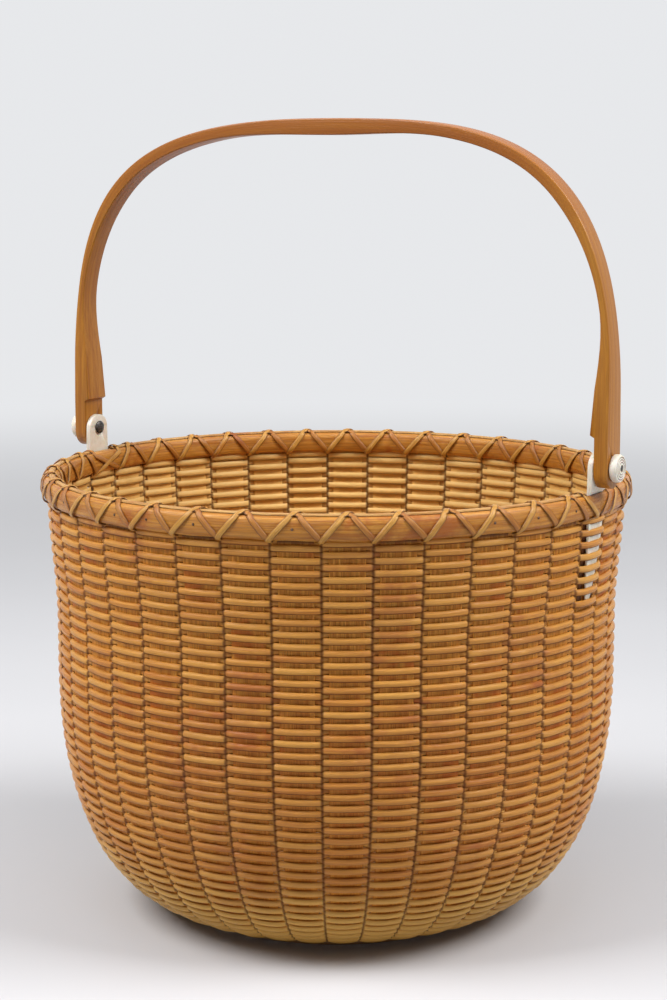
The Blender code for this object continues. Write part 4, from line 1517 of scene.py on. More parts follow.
@dataclass
class RimHoops:
    """Outer and inner hoops of split cane and the filler strips over the stave heads."""

    form: BasketForm
    roundness_share: float = 0.64
    section_steps: int = 12
    ring_count: int = 234
    node_spacing: float = 0.34
    node_start: float = 0.1301
    node_width: float = 0.0011
    node_rise: float = 0.00022
    edge_wander: float = 0.00035
    finish: FibreFinish = FibreFinish(
        "hoop_cane",
        dark=(0.46, 0.15, 0.010),
        light=(0.72, 0.32, 0.042),
        aged=(0.40, 0.10, 0.005),
        aged_cover=0.34,
        aged_scale=30.0,
        stretch=34.0,
        fineness=900.0,
        line_share=0.4,
        roughness=(0.26, 0.42),
        coat=0.12,
    )
    filler_finish: FibreFinish = FibreFinish(
        "filler_cane",
        dark=(0.48, 0.21, 0.045),
        light=(0.70, 0.42, 0.14),
        aged=(0.40, 0.14, 0.03),
        stretch=30.0,
        fineness=1200.0,
        roughness=(0.32, 0.48),
    )

    def half_round(self, thickness: float) -> list[Pair]:
        """Return the (outward, up) points of a hoop's section, flat on its inner side."""
        steps, share = self.section_steps, self.roundness_share
        half = self.form.hoop_height / 2
        points = []
        for k in range(steps + 1):
            turned = pi * k / steps - QUARTER_TURN
            out = thickness * max(cos(turned), 0) ** share
            up = half * abs(sin(turned)) ** share * (1 if turned > 0 else -1)
            points.append((out, up + half))
        return points

    def node_swell(self, run: float) -> float:
        """Return how far a cane node stands up at a place along a hoop."""
        off = (run - self.node_start + self.node_spacing / 2) % self.node_spacing
        off -= self.node_spacing / 2
        return self.node_rise * exp(-((off / self.node_width) ** 2))

    def notch(self, angle: float) -> float:
        """Return the radius of the outer hoop's inner face, deeper behind an ear's tail."""
        form = self.form
        x, y = form.hoop_inner_face * cos(angle), form.hoop_inner_face * sin(angle)
        half_notch = form.stave_width(form.head_radius) / 2 + form.clearance
        if abs(y - form.pivot_y) > half_notch:
            return form.hoop_inner_face
        return (form.ear_distance + form.tail_thickness + form.clearance) / abs(cos(angle))

    def outer(self) -> bpy.types.Object:
        """Return the outer hoop."""
        form, loft = self.form, Loft()
        section = self.half_round(form.outer_hoop_thickness)
        for k in range(self.ring_count):
            angle = form.stave_angle(0) - FULL_TURN * k / self.ring_count
            run = FULL_TURN * k / self.ring_count * form.mouth_radius
            inner, swell = self.notch(angle), self.node_swell(run)
            low_edge = self.edge_wander * ripple(run * 60, 2.0)
            ring = []
            for out, up in section:
                radius = max(form.hoop_inner_face + out + swell * min(out / MILLIMETRE, 1), inner)
                height = up + low_edge * (1 - up / form.hoop_height)
                ring.append(form.around(angle, radius, form.hoop_foot + max(height, 0)))
            loft.add(ring, run, [(up, out) for out, up in section])
        return loft.skin("outer_hoop_cane", True, 50)

    def inner(self) -> bpy.types.Object:
        """Return the inner hoop."""
        form, loft = self.form, Loft()
        section = self.half_round(form.inner_hoop_thickness)
        for k in range(self.ring_count):
            angle = form.stave_angle(0) - FULL_TURN * k / self.ring_count
            run = FULL_TURN * k / self.ring_count * form.inner_hoop_face
            swell = self.node_swell(run + self.node_spacing / 3)
            ring = []
            for out, up in section:
                radius = form.inner_hoop_face - out - swell * min(out / MILLIMETRE, 1)
                ring.append(form.around(angle, radius, form.hoop_foot + up))
            loft.add(ring, run + 2, [(up, out) for out, up in section])
        return loft.skin("inner_hoop_cane", True, 50)

    def filler(self, name: str, first: int, last: int) -> bpy.types.Object:
        """Return one filler strip between the ears.

        Args:
            name: Name of the piece.
            first: Stave that it starts at.
            last: Stave that it ends at.

        Returns:
            The strip.
        """
        form, loft = self.form, Loft()
        half_ear = form.stave_width(form.head_radius) / 2 + 2 * form.clearance
        margin = half_ear / form.head_radius
        start, end = form.stave_angle(first) - margin, form.stave_angle(last) + margin
        steps = round(abs(end - start) / radians(2))
        half = form.filler_width / 2
        section = [(-half, 0.0), (half, 0.0)]
        section += [(half * cos(pi * k / 6), form.filler_thickness * sin(pi * k / 6)) for k in range(1, 6)]
        foot = form.rim_height + form.clearance
        for k in range(steps + 1):
            angle = start + (end - start) * k / steps
            run = abs(angle) * form.filler_middle
            ring = [form.around(angle, form.filler_middle + out, foot + up) for out, up in section]
            loft.add(ring, run, section)
        return loft.skin(name)

    def build(self) -> None:
        """Build hoops and fillers and place them."""
        finish, pale = self.finish.material(), self.filler_finish.material()
        place_piece(self.outer(), Body.BASKET, Slot.HOOP, ["outer_hoop"], finish)
        place_piece(self.inner(), Body.BASKET, Slot.HOOP, ["inner_hoop"], finish)
        middle, last = self.form.ear_stave, self.form.stave_count
        for side, first, end in (("front", 0, middle), ("back", middle, last)):
            piece = self.filler(f"filler_strip_{side}", first, end)
            place_piece(piece, Body.BASKET, Slot.HOOP, [f"rim_filler_{side}"], pale)


@dataclass
class RimLashing:
    """Split-cane lashing: two strands from ear to ear that cross over every stave."""

    form: BasketForm
    ribbon_width: float = 0.0032
    ribbon_thickness: float = 0.0006
    shoulder_share: float = 0.88
    crest_height: float = 0.2426
    corner_round: tuple[float, ...] = (0.0042, 0.0036, 0.0030, 0.0036, 0.0042)
    corner_steps: int = 4
    lean_shares: tuple[float, ...] = (0.0, 0.34, 0.5, 0.66, 1.0)
    ear_lean_shares: tuple[float, ...] = (0.42, 0.0, 0.0, 0.0, 1.0)
    broad_staves: tuple[int, ...] = (37, 38)
    broad_share: float = 1.5
    point_spacing: float = 0.0011
    over_lift: float = 0.0004
    crossing_stages: tuple[float, ...] = (0.0, 2.0, 4.0, 4.5, 5.0)
    pale: FibreFinish = FibreFinish(
        "lashing_pale",
        dark=(0.52, 0.225, 0.026),
        light=(0.74, 0.39, 0.075),
        aged=(0.46, 0.13, 0.010),
        shaded_edge_band=(0.0010, 0.0015),
        aged_cover=0.16,
        stretch=20.0,
        fineness=1700.0,
        line_share=0.25,
        roughness=(0.3, 0.45),
        coat=0.2,
    )
    # Under strand: redder cane, and darker as painted shade, a shaded copy of the pale strand.
    red: FibreFinish = FibreFinish(
        "lashing_red_shaded",
        dark=(0.40, 0.125, 0.011),
        light=(0.58, 0.25, 0.038),
        aged=(0.34, 0.075, 0.006),
        shaded_edge_band=(0.0010, 0.0015),
        aged_cover=0.24,
        stretch=20.0,
        fineness=1700.0,
        line_share=0.3,
        roughness=(0.3, 0.45),
        coat=0.2,
    )

    def corners(self) -> list[Vector]:
        """Return the rim's corners as (radius, height): up outside, over and down inside."""
        form = self.form
        outside = form.mouth_radius + form.clearance
        inner_face = form.inner_hoop_face - form.inner_hoop_thickness
        inside = inner_face * cos(form.pitch / 4) - form.clearance
        foot = form.hoop_foot - form.clearance
        shoulder = form.hoop_foot + form.hoop_height * self.shoulder_share
        return [
            Vector((outside, foot)),
            Vector((outside, shoulder)),
            Vector((form.filler_middle, self.crest_height)),
            Vector((inside, shoulder)),
            Vector((inside, foot)),
        ]

    def loop(self) -> list[tuple[Vector, Vector, float]]:
        """Return the rounded way round the rim: each point, its outward side and its lean stage."""
        corners = self.corners()
        count = len(corners)
        way: list[tuple[Vector, float]] = []
        for k, corner in enumerate(corners):
            before = (corners[k - 1] - corner).normalized() * self.corner_round[k]
            after = (corners[(k + 1) % count] - corner).normalized() * self.corner_round[k]
            for step in range(self.corner_steps + 1):
                share = step / self.corner_steps
                point = corner + before * (1 - share) ** 2 + after * share**2
                way.append((point, k + (share - 0.5) * 0.5))
        full = []
        for (near, low), (far, high) in zip(way, way[1:] + way[:1]):
            high += count if high < low else 0
            pieces = max(ceil((far - near).length / self.point_spacing), 1)
            for k in range(pieces):
                share = k / pieces
                full.append((near.lerp(far, share), low + (high - low) * share))
        centre = sum(corners, Vector((0.0, 0.0))) / count
        loop = []
        for k, (point, stage) in enumerate(self.evened(full)):
            run = full[(k + 1) % len(full)][0] - full[k - 1][0]
            side = Vector((run.y, -run.x)).normalized()
            if side.dot(point - centre) < 0:
                side = -side
            loop.append((point, side, stage))
        return loop

    def evened(self, way: Sequence[tuple[Vector, float]]) -> list[tuple[Vector, float]]:
        """Return a way round the rim with its stages even in length between corners.

        Args:
            way: Each point with its stage, a whole number at each corner's middle.

        Returns:
            The same points with the new stages.
        """
        lengths, total, before = [], 0.0, way[0][0]
        for point, _ in way:
            total += (point - before).length
            lengths.append(total)
            before = point
        total += (way[0][0] - before).length
        count = len(self.corners())
        marks = [
            min(zip(lengths, way), key=lambda entry: abs(entry[1][1] - k))[0] for k in range(count)
        ]
        marks = [marks[-1] - total, *marks, marks[0] + total]
        even = []
        for length, (point, _) in zip(lengths, way):
            low = max(k for k, mark in enumerate(marks[:-1]) if mark <= length)
            share = (length - marks[low]) / (marks[low + 1] - marks[low])
            even.append((point, low - 1 + share))
        return even

    def lean(self, stage: float, shares: Sequence[float]) -> float:
        """Return how far round, in pitches, a strand has leaned at a stage of its turn."""
        if stage <= 0:
            return shares[0]
        low = min(int(stage), len(shares) - 1)
        high = min(low + 1, len(shares) - 1)
        return shares[low] + (shares[high] - shares[low]) * (stage - low)

    def path(self, staves: Sequence[int], direction: int, lift: float) -> bpy.types.Mesh:
        """Return a strand's path with its outward sides.

        Args:
            staves: Staves in the order in which the strand passes them.
            direction: 1 for the strand that leans clockwise as it climbs, -1 for the other.
            lift: How far it stands off where the strands cross.

        Returns:
            The path as a row of points.
        """
        form, loop = self.form, self.loop()
        points, sides, widths = [], [], []
        start_stage = min(range(len(loop)), key=lambda k: abs(loop[k][2]))
        loop = loop[start_stage:] + [(p, s, stage + 5) for p, s, stage in loop[:start_stage]]
        for index in staves:
            at_ear = index in (0, form.ear_stave)
            shares = self.ear_lean_shares if at_ear else self.lean_shares
            start = form.stave_angle(index) + direction * form.pitch / 2
            width = 1 + 0.10 * ripple(index * 2.9, direction * 1.3)
            if direction < 0 and index in self.broad_staves:
                width *= self.broad_share
            shift = 0.05 * ripple(index * 1.9, direction * 2.7)
            for place, side, stage in loop:
                if index == staves[-1] and stage > 4.2:
                    break
                share = self.lean(stage, shares)
                share += shift * sin(pi * min(max(stage / 4, 0), 1))
                angle = start - direction * form.pitch * share
                near_cross = min(abs(stage - crossing) for crossing in self.crossing_stages)
                high = lift * (1 - smooth((near_cross - 0.25) / 0.45))
                spot = place + side * (high + form.clearance / 3)
                points.append(form.around(angle, spot.x, spot.y))
                sides.append((side.x * cos(angle), side.x * sin(angle), side.y))
                widths.append(width)
        mesh = chain("lashing_path", points)
        layer = mesh.attributes.new("outward", "FLOAT_VECTOR", "POINT")
        layer.data.foreach_set("vector", [value for side in sides for value in side])
        keep(mesh, "girth", widths)
        return mesh

    def tree(self) -> FormTree:
        """Return the tree that lays the ribbon along its path."""
        tree = FormTree("lashing_ribbon", {"Section": Socket.OBJECT})
        path = tree.add("GeometryNodeMeshToCurve", {"Mesh": tree.given("Geometry")}).outputs[0]
        spline = tree.add("GeometryNodeSplineParameter")
        path = tree.store(path, "run", spline.outputs["Length"])
        outward = tree.add(
            "GeometryNodeInputNamedAttribute", {"Name": "outward"}, data_type="FLOAT_VECTOR"
        )
        girth = tree.add("GeometryNodeInputNamedAttribute", {"Name": "girth"}, data_type="FLOAT")
        path = tree.sweep(path, outward.outputs[0], tree.section("Section"), girth.outputs[0])
        tree.close(path)
        return tree

    def build(self) -> None:
        """Wind the four strands and place them."""
        half, deep = self.ribbon_width / 2, self.ribbon_thickness
        outline = (
            (0.0, -0.86 * half), (0.35 * deep, -half), (0.8 * deep, -0.62 * half), (deep, -0.2 * half),
            (deep, 0.2 * half), (0.8 * deep, 0.62 * half), (0.35 * deep, half), (0.0, 0.86 * half),
        )
        section = section_object("ribbon_section", outline)
        tree = self.tree()
        pale, red = self.pale.material(), self.red.material()
        form = self.form
        fronts, backs = range(form.ear_stave), range(form.ear_stave, form.stave_count)
        for side, staves in (("front", fronts), ("back", backs)):
            for layer, order, direction, lift, finish in (
                # The under strand takes the redder, painted-shade finish.
                ("under", staves, 1, 0.0, red),
                ("over", staves[::-1], -1, self.over_lift, pale),
            ):
                path = self.path(order, direction, lift)
                values = {"Section": section, "Finish": finish}
                piece = tree.run(f"lash_{side}_{layer}", path, values)
                place_piece(piece, Body.BASKET, Slot.LASHING, [f"lashing_{side}_{layer}"])
        bpy.data.objects.remove(section)


@dataclass
class RimNails:
    """Small round-headed nails through the outer hoop."""

    form: BasketForm
    head_radius: float = 0.00075
    head_height: float = 0.00035
    rise_share: float = 0.51
    angles: tuple[float, ...] = (
        -139.0, -121.0, -103.3, -95.4, -85.4, -67.3, -30.8, -21.1, -10.8, 28.0, 62.0, 97.0, 131.0, 158.0,
    )
    finish: MetalFinish = MetalFinish("nail_metal", (0.05, 0.028, 0.018), (0.22, 0.13, 0.08))

    def head(self) -> bpy.types.Object:
        """Return the domed head that every nail repeats."""
        lathe = Lathe(Vector(), Vector((0, 0, 1)), Vector((1, 0, 0)), 10)
        outline = [(-self.head_height, 0.0), (-self.head_height, self.head_radius * 0.8)]
        for k in range(4):
            turned = QUARTER_TURN * k / 3
            outline.append((self.head_height * sin(turned), self.head_radius * cos(turned)))
        return lathe.turn("nail_head", outline, 80)

    def tree(self) -> FormTree:
        """Return the tree that sets a head on every point, facing outwards."""
        tree = FormTree("nail_row", {"Head": Socket.OBJECT})
        head = tree.add("GeometryNodeObjectInfo", {"Object": tree.given("Head")})
        x, y, _ = tree.parts(tree.add("GeometryNodeInputPosition").outputs[0])
        facing = tree.add(
            "FunctionNodeAlignRotationToVector", {"Vector": tree.vector(x, y, 0.0)}, axis="Z"
        )
        heads = tree.add(
            "GeometryNodeInstanceOnPoints",
            {
                "Points": tree.given("Geometry"),
                "Instance": head.outputs["Geometry"],
                "Rotation": facing.outputs[0],
            },
        )
        tree.close(heads.outputs[0])
        return tree

    def build(self) -> None:
        """Drive the nails and place them."""
        form = self.form
        height = form.hoop_foot + form.hoop_height * self.rise_share
        points = [form.around(radians(angle), form.mouth_radius, height) for angle in self.angles]
        mesh = bpy.data.meshes.new("nail_points")
        mesh.from_pydata(points, [], [])
        head = self.head()
        values = {"Head": head, "Finish": self.finish.material()}
        piece = self.tree().run("rim_nails", mesh, values)
        bpy.data.objects.remove(head)
        place_piece(piece, Body.BASKET, Slot.METAL)


@dataclass
class EarPair:
    """Bone ears with leaf-shaped tails, their pins and the turned bone knobs."""

    form: BasketForm
    width: float = 0.0165
    top_round: float = 0.0074
    edge_round: float = 0.00045
    tail_levels: int = 26
    top_levels: int = 14
    facets: int = 48
    pin_radius: float = 0.0013
    pin_head_radius: float = 0.0037
    pin_head_height: float = 0.0014
    knob_radius: float = 0.0072
    knob_thickness: float = 0.0045
    groove_shares: tuple[float, ...] = (0.80, 0.62, 0.44)
    groove_depth: float = 0.00035
    groove_width_share: float = 0.045
    leg_thickness: float = 0.0075
    bone: BoneFinish = BoneFinish("ear_bone", (0.88, 0.83, 0.72), (0.74, 0.66, 0.50), (0.45, 0.35, 0.22))
    knob_bone: tuple[Colour, ...] = ((0.90, 0.86, 0.76), (0.80, 0.72, 0.56), (0.48, 0.38, 0.24))
    metal: MetalFinish = MetalFinish("pin_metal", (0.045, 0.042, 0.040), (0.15, 0.14, 0.13))

    def tail_inner(self, height: float) -> float:
        """Return the distance of a tail's inner face from the middle plane."""
        return self.form.ear_distance - self.form.head_radius + self.form.flare_radius(height)

    def stave_front(self, height: float) -> float:
        """Return where the front edge of an ear's stave runs."""
        form = self.form
        radius = form.flare_radius(height)
        half = form.stave_width(radius) / 2 - form.clearance
        return -radius * sin(form.ear_angle) - half * cos(form.ear_angle)

    def tail_levels_list(self) -> list[tuple[float, float, float, float, float]]:
        """Return (height, front, width, inner, thickness) from the tip to the hoop's foot."""
        form = self.form
        length = form.hoop_foot - form.tail_end
        foot_width = self.foot_width()
        levels = []
        for k in range(self.tail_levels + 1):
            share = max((k / self.tail_levels) ** 1.6, 0.004)
            height = form.tail_end + length * share
            thickness = form.tip_thickness + (form.tail_thickness - form.tip_thickness) * share
            width = foot_width * sqrt(share)
            front = -form.flare_radius(height) * sin(form.ear_angle) - width / 2
            levels.append((height, front, width, self.tail_inner(height), thickness))
        return levels

    def foot_width(self) -> float:
        """Return an ear's width at the rim."""
        return 2 * (self.form.pivot_y - self.stave_front(self.form.hoop_foot))

    def levels(self) -> list[tuple[float, float, float, float, float]]:
        """Return (height, front, width, inner, thickness) from the tip to the round top."""
        form, width = self.form, self.foot_width()
        inner, front = form.ear_distance, form.pivot_y - width / 2
        rim_top = form.rim_height + form.clearance
        full = rim_top + form.ear_thickness - form.tail_thickness
        levels = self.tail_levels_list()
        levels.append((rim_top, front, width, inner, form.tail_thickness))
        levels.append((full, front, width, inner, form.ear_thickness))
        for k in range(self.top_levels + 1):
            turned = QUARTER_TURN * (1 - k / self.top_levels)
            wide = max(self.width * sin(turned), self.width * 0.06)
            height = form.pivot_height + self.top_round * cos(turned)
            levels.append((height, form.pivot_y - wide / 2, wide, inner, form.ear_thickness))
        return levels

    def ear(self, name: str, side: int) -> bpy.types.Object:
        """Return one ear, drilled for its pin.

        Args:
            name: Name of the piece.
            side: 1 for the right ear, -1 for the left one.

        Returns:
            The ear.
        """
        loft = Loft()
        for height, front, width, inner, thickness in self.levels():
            radius = min(self.edge_round, thickness / 3, width / 3)
            section = rounded_section(width, thickness, radius, 3)
            middle = front + width / 2
            ring = [Vector((side * (inner + deep), middle + wide, height)) for wide, deep in section]
            loft.add(ring, height, section)
        ear = loft.skin(name, crease=50)
        hole = self.form.clearance + self.pin_radius
        reach = (self.form.ear_distance - 0.002, self.form.lap_distance + 0.002)
        cutter = self.lathe(side).turn("hole", ((reach[0], 0), (reach[0], hole), (reach[1], hole), (reach[1], 0)))
        drilled(ear, cutter)
        return ear

    def lathe(self, side: int) -> Lathe:
        """Return the lathe on the pivot axis of one side."""
        centre = Vector((0, self.form.pivot_y, self.form.pivot_height))
        return Lathe(centre, Vector((side, 0, 0)), Vector((0, 0, 1)), self.facets)

    def pin(self, name: str, side: int) -> bpy.types.Object:
        """Return one pin: domed head inside the ear, shank out to the knob's face."""
        seat = self.form.ear_distance - self.form.clearance
        tip = self.form.lap_distance + self.leg_thickness + self.form.clearance + self.knob_thickness
        outline = [(seat - self.pin_head_height, 0.0)]
        for k in range(1, 9):
            turned = QUARTER_TURN * (1 - k / 8)
            flat = self.pin_head_height * sin(turned) ** 0.6
            outline.append((seat - flat, self.pin_head_radius * cos(turned)))
        outline += [(seat, self.pin_radius), (tip - 0.0003, self.pin_radius), (tip, self.pin_radius * 0.7)]
        outline.append((tip, 0.0))
        return self.lathe(side).turn(name, outline, 50)

    def knob(self, name: str, side: int) -> bpy.types.Object:
        """Return one knob: round edge and fine rings cut in its face."""
        back = self.form.lap_distance + self.leg_thickness + self.form.clearance
        thick, radius = self.knob_thickness, self.knob_radius
        hole = self.pin_radius + self.form.clearance
        outline = [(back, hole), (back, radius * 0.92), (back + thick * 0.1, radius * 0.98)]
        outline += [(back + thick * 0.25, radius), (back + thick * 0.5, radius)]
        edge = 0.90
        for k in range(1, 6):
            turned = QUARTER_TURN * k / 5
            outline.append(
                (
                    back + thick * (0.5 + 0.36 * sin(turned)),
                    radius * (edge + (1 - edge) * cos(turned)),
                )
            )
        half = self.groove_width_share
        for share in self.groove_shares:
            rise = 0.86 + 0.14 * (1 - share)
            for off, deep in ((half, 0.0), (half * 0.5, 0.75), (0.0, 1.0), (-half * 0.5, 0.75), (-half, 0.0)):
                outline.append((back + thick * rise - self.groove_depth * deep, radius * (share + off)))
        outline.append((back + thick * 0.97, hole + 0.0004))
        outline.append((back + thick * 0.93, hole))
        return self.lathe(side).turn(name, outline, 45)

    def build(self) -> None:
        """Build both sides and place them."""
        bone, metal = self.bone.material(), self.metal.material()
        axis = (self.form.pivot_y, self.form.pivot_height)
        rings = tuple(self.knob_radius * share for share in self.groove_shares)
        ringed = KnobFinish("knob_bone", *self.knob_bone, axis=axis, rings=rings).material()
        for side, label in ((1, "right"), (-1, "left")):
            ear = self.ear(f"bone_ear_{label}", side)
            place_piece(ear, Body.BASKET, Slot.BONE, [f"ear_{label}"], bone)
            pin = self.pin(f"hinge_pin_{label}", side)
            place_piece(pin, Body.BASKET, Slot.METAL, [f"pivot_pin_{label}"], metal)
            knob = self.knob(f"bone_knob_{label}", side)
            place_piece(knob, Body.BASKET, Slot.BONE, [f"knob_{label}"], ringed)


def drilled(piece: bpy.types.Object, cutter: bpy.types.Object) -> None:
    """Cut one shape out of a piece and drop the cutter."""
    cut = piece.modifiers.new("drill", "BOOLEAN")
    cut.operation, cut.solver, cut.object = "DIFFERENCE", "EXACT", cutter
    graph = bpy.context.evaluated_depsgraph_get()
    shown = piece.evaluated_get(graph)
    made = bpy.data.meshes.new_from_object(shown, preserve_all_data_layers=True, depsgraph=graph)
    piece.modifiers.clear()
    piece.data = made
    bpy.data.objects.remove(cutter)


@dataclass
class BentHandle:
    """Bent wooden handle: lapped ends, flared legs, thin necks and a thick crown."""

    form: BasketForm
    rise: float = 0.1758
    end_drop: float = 0.0106
    lap_thickness: float = 0.0075
    lap_rise: float = 0.0170
    shoulder_slant: float = 0.0014
    straight_leg: float = 0.0233
    paddle_thickness: float = 0.0099
    neck_thickness: float = 0.0039
    arm_thickness: float = 0.0062
    crown_thickness: float = 0.0088
    lap_width: float = 0.0170
    neck_width: float = 0.0131
    crown_width: float = 0.0175
    paddle_length: float = 0.0650
    crown_swell: float = 0.0732
    edge_round: float = 0.0007
    crown_bend: Pair = (0.500, 0.732)
    leg_bend: Pair = (0.990, 0.785)
    end_steps: int = 10
    curve_steps: int = 56
    pin_hole: float = 0.0016
    finish: HandleFinish = HandleFinish(
        "handle_wood",
        dark=(0.35, 0.115, 0.007),
        light=(0.50, 0.205, 0.020),
        aged=(0.31, 0.08, 0.004),
        aged_cover=0.12,
        aged_scale=14.0,
        stretch=70.0,
        fineness=420.0,
        line_share=0.35,
        roughness=(0.34, 0.46),
        coat=0.08,
        relief=0.00005,
    )

    def thickness(self, rise: float, crown_run: float) -> float:
        """Return the thickness at a run from the shoulder and a run from the crown."""
        paddle = smooth(rise / self.paddle_length)
        leg = self.paddle_thickness + (self.neck_thickness - self.paddle_thickness) * paddle
        second = smooth((rise - self.paddle_length) / self.paddle_length)
        arm = (self.arm_thickness - self.neck_thickness) * second
        swell = 1 - smooth(crown_run / self.crown_swell)
        return leg + arm + (self.crown_thickness - self.arm_thickness) * swell

    def width(self, rise: float, crown_run: float) -> float:
        """Return the width at a run from the shoulder and a run from the crown."""
        leg = self.lap_width + (self.neck_width - self.lap_width) * smooth(rise / self.paddle_length)
        swell = 1 - smooth(crown_run / (2 * self.crown_swell))
        return leg + (self.crown_width - self.neck_width) * swell

    def half(self, crown_share: float, leg_share: float) -> list[tuple[Vector, Vector, float, float]]:
        """Return one half's sections from the leg's end to the crown.

        Args:
            crown_share: How far the crown's tangent reaches.
            leg_share: How far the leg's tangent reaches.

        Returns:
            Each section's point, outward side, width and thickness, in the XZ plane.
        """
        form = self.form
        leg = form.lap_distance + self.lap_thickness
        end, shoulder = form.pivot_height - self.end_drop, form.pivot_height + self.lap_rise
        outward = Vector((1, 0, 0))
        sections = []
        for k in range(1, self.end_steps + 1):
            turned = QUARTER_TURN * k / self.end_steps
            point = Vector((leg, 0, end + self.lap_width / 2 * (1 - cos(turned))))
            sections.append((point, outward, self.lap_width * sin(turned), self.lap_thickness))
        low = Vector((leg, 0, shoulder - self.shoulder_slant))
        sections.append((low, outward, self.lap_width, self.lap_thickness))
        sections.append((Vector((leg, 0, shoulder)), outward, self.lap_width, self.paddle_thickness))
        spring = Vector((leg, 0, shoulder + self.straight_leg))
        crown = Vector((0, 0, form.pivot_height + self.rise))
        curve = (
            spring,
            Vector((leg, 0, spring.z + (crown.z - spring.z) * leg_share)),
            Vector((leg * crown_share, 0, crown.z)),
            crown,
        )
        steps = self.curve_steps
        line = [cubic(curve, k / steps) for k in range(steps + 1)]
        runs = [spring.z - shoulder]
        for near, far in zip(line, line[1:]):
            runs.append(runs[-1] + (far - near).length)
        for k, point in enumerate(line):
            run = line[min(k + 1, steps)] - line[max(k - 1, 0)]
            outward = Vector((run.z, 0, -run.x)).normalized()
            if k == 0:
                outward = Vector((1, 0, 0))
            if k == steps:
                outward = Vector((0, 0, 1))
            rise, crown_run = runs[k], runs[-1] - runs[k]
            width, thick = self.width(rise, crown_run), self.thickness(rise, crown_run)
            sections.append((point, outward, width, thick))
        return sections

    def build(self) -> None:
        """Bend the handle and place it."""
        form, loft = self.form, Loft()
        right = self.half(self.crown_bend[0], self.leg_bend[0])
        left = self.half(self.crown_bend[1], self.leg_bend[1])
        run, before = 0.0, None
        for side, (point, outward, width, thick) in [(1, s) for s in right] + [(-1, s) for s in left[-2::-1]]:
            spot = Vector((side * point.x, form.pivot_y, point.z))
            run += (spot - before).length if before else 0
            before = spot
            radius = min(self.edge_round, width / 3)
            section = rounded_section(width, thick, radius, 3)
            out = Vector((side * outward.x, 0, outward.z))
            loft.add([spot - out * deep + Vector((0, wide, 0)) for wide, deep in section], run, section)
        handle = loft.skin("bent_handle", crease=40)
        centre = Vector((0, form.pivot_y, form.pivot_height))
        for side in (1, -1):
            lathe = Lathe(centre, Vector((side, 0, 0)), Vector((0, 0, 1)), 32)
            start, end = form.lap_distance - 0.002, form.lap_distance + self.lap_thickness + 0.002
            hole = self.pin_hole
            drilled(handle, lathe.turn("hole", ((start, 0), (start, hole), (end, hole), (end, 0))))
        place_piece(handle, Body.HANDLE, Slot.HANDLE, ["handle"], self.finish.material())


@dataclass(frozen=True)
class SoftBox:
    """A square studio lamp aimed at the basket."""

    name: str
    place: tuple[float, float, float]
    side: float
    power: float
    aim: tuple[float, float, float] = (0.0, 0.0, 0.2)

    def build(self) -> None:
        """Hang the lamp."""
        lamp = bpy.data.lights.new(self.name, "AREA")
        lamp.shape = "SQUARE"
        lamp.size = self.side
        lamp.energy = self.power
        holder = bpy.data.objects.new(self.name, lamp)
        holder.location = self.place
        facing = Vector(self.aim) - Vector(self.place)
        holder.rotation_euler = facing.to_track_quat("-Z", "Y").to_euler()
        bpy.context.scene.collection.objects.link(holder)


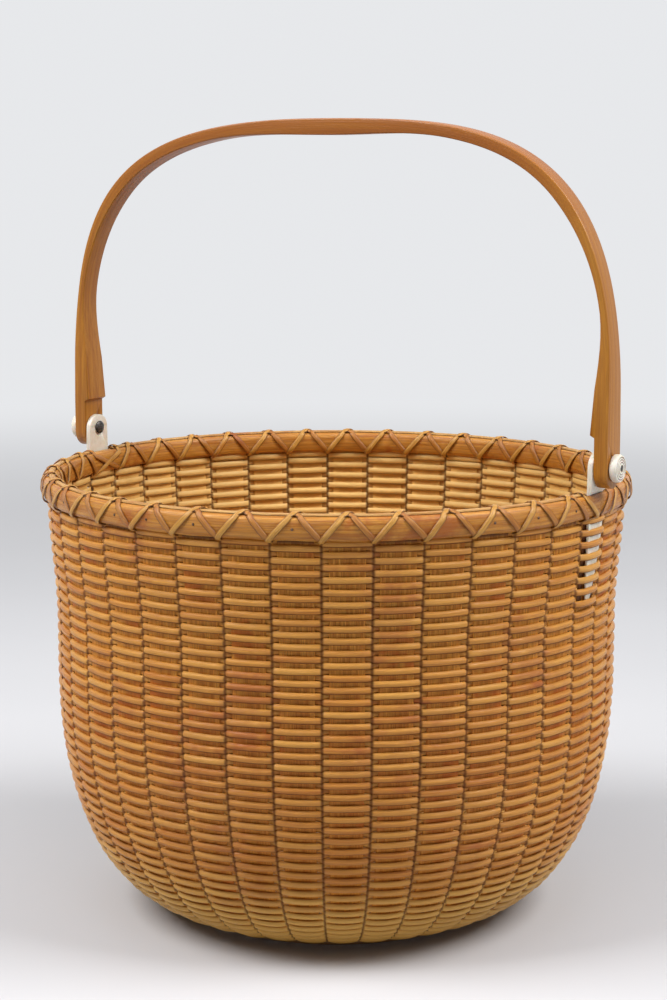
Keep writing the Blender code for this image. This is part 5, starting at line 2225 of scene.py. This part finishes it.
@dataclass
class Studio:
    """Pale floor and surroundings, soft lamps and the camera."""

    floor_radius: float = 3.0
    fade: Pair = (0.9, 2.4)
    floor_colour: Colour = (0.67, 0.67, 0.69)
    bounce_share: float = 0.66
    backdrop: Colour = (0.80, 0.81, 0.83)
    ambient: float = 0.16
    camera_place: tuple[float, float, float] = (0.6042, -1.0340, 0.4180)
    camera_turn: tuple[float, float, float] = (80.761, 0.0, 30.37)
    lens: float = 79.43
    lamps: tuple[SoftBox, ...] = (
        SoftBox("key_box", (-0.92, -1.06, 1.76), 1.1, 41.0),
        SoftBox("fill_box", (1.38, 0.27, 1.76), 1.1, 40.0),
        SoftBox("top_box", (0.2, -0.6, 2.1), 1.2, 7.0),
    )

    def build_floor(self) -> None:
        """Lay the floor, which fades to the backdrop's colour far from the basket."""
        skin = bmesh.new()
        bmesh.ops.create_circle(skin, cap_ends=True, segments=96, radius=self.floor_radius)
        mesh = bpy.data.meshes.new("floor")
        skin.to_mesh(mesh)
        skin.free()
        floor = linked("floor", mesh)
        shading = Shading("floor_paper")
        place = shading.place()
        soft = shading.noise(place, 3.0, 3.0).eased(0.3, 0.7)
        red, green, blue = self.floor_colour
        colour = shading.mix(soft, self.floor_colour, (red * 0.97, green * 0.97, blue * 0.97))
        dim = tuple(value * self.bounce_share for value in self.floor_colour)
        colour = shading.mix(shading.in_sight(), dim, colour)
        shading.feed(shading.shader.inputs["Base Color"], colour)
        shading.shader.inputs["Roughness"].default_value = 0.7
        x, y, _ = shading.parts(place)
        far = shading.math("SQRT", x * x + y * y).eased(*self.fade)
        glow = shading.add("ShaderNodeEmission", {"Color": opaque(self.backdrop)})
        blend = shading.add(
            "ShaderNodeMixShader", {0: far, 1: shading.shader.outputs[0], 2: glow.outputs[0]}
        )
        shading.feed(shading.nodes["Material Output"].inputs[0], blend.outputs[0])
        mesh.materials.append(shading.material)

    def build_world(self) -> None:
        """Light the world evenly, and show the backdrop's colour to the camera."""
        world = bpy.data.worlds.new("studio")
        bpy.context.scene.world = world
        world.use_nodes = True
        maker = TreeMaker(world.node_tree)
        background = maker.nodes["Background"]
        maker.feed(background.inputs["Color"], opaque(self.backdrop))
        strength = maker.in_sight() * (1 - self.ambient) + self.ambient
        maker.feed(background.inputs["Strength"], strength)

    def build_camera(self) -> None:
        """Set the camera at the photograph's viewpoint."""
        camera = bpy.data.cameras.new("camera")
        camera.lens = self.lens
        camera.sensor_width = 36.0
        holder = bpy.data.objects.new("camera", camera)
        holder.location = self.camera_place
        holder.rotation_euler = [radians(turn) for turn in self.camera_turn]
        bpy.context.scene.collection.objects.link(holder)
        bpy.context.scene.camera = holder

    def build(self) -> None:
        """Build the studio."""
        bpy.context.scene.view_settings.view_transform = "Standard"
        self.build_floor()
        self.build_world()
        self.build_camera()
        for lamp in self.lamps:
            lamp.build()


def main() -> None:
    """Build the basket and its studio."""
    logging.basicConfig(level=logging.INFO, format="%(message)s")
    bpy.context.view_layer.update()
    form = BasketForm()
    for part in (
        TurnedBase(form),
        StaveRing(form),
        WovenWall(form),
        RimHoops(form),
        RimLashing(form),
        RimNails(form),
        EarPair(form),
        BentHandle(form),
        Studio(),
    ):
        part.build()
        log.info("%s: done", type(part).__name__)


if __name__ == "__main__":
    main()
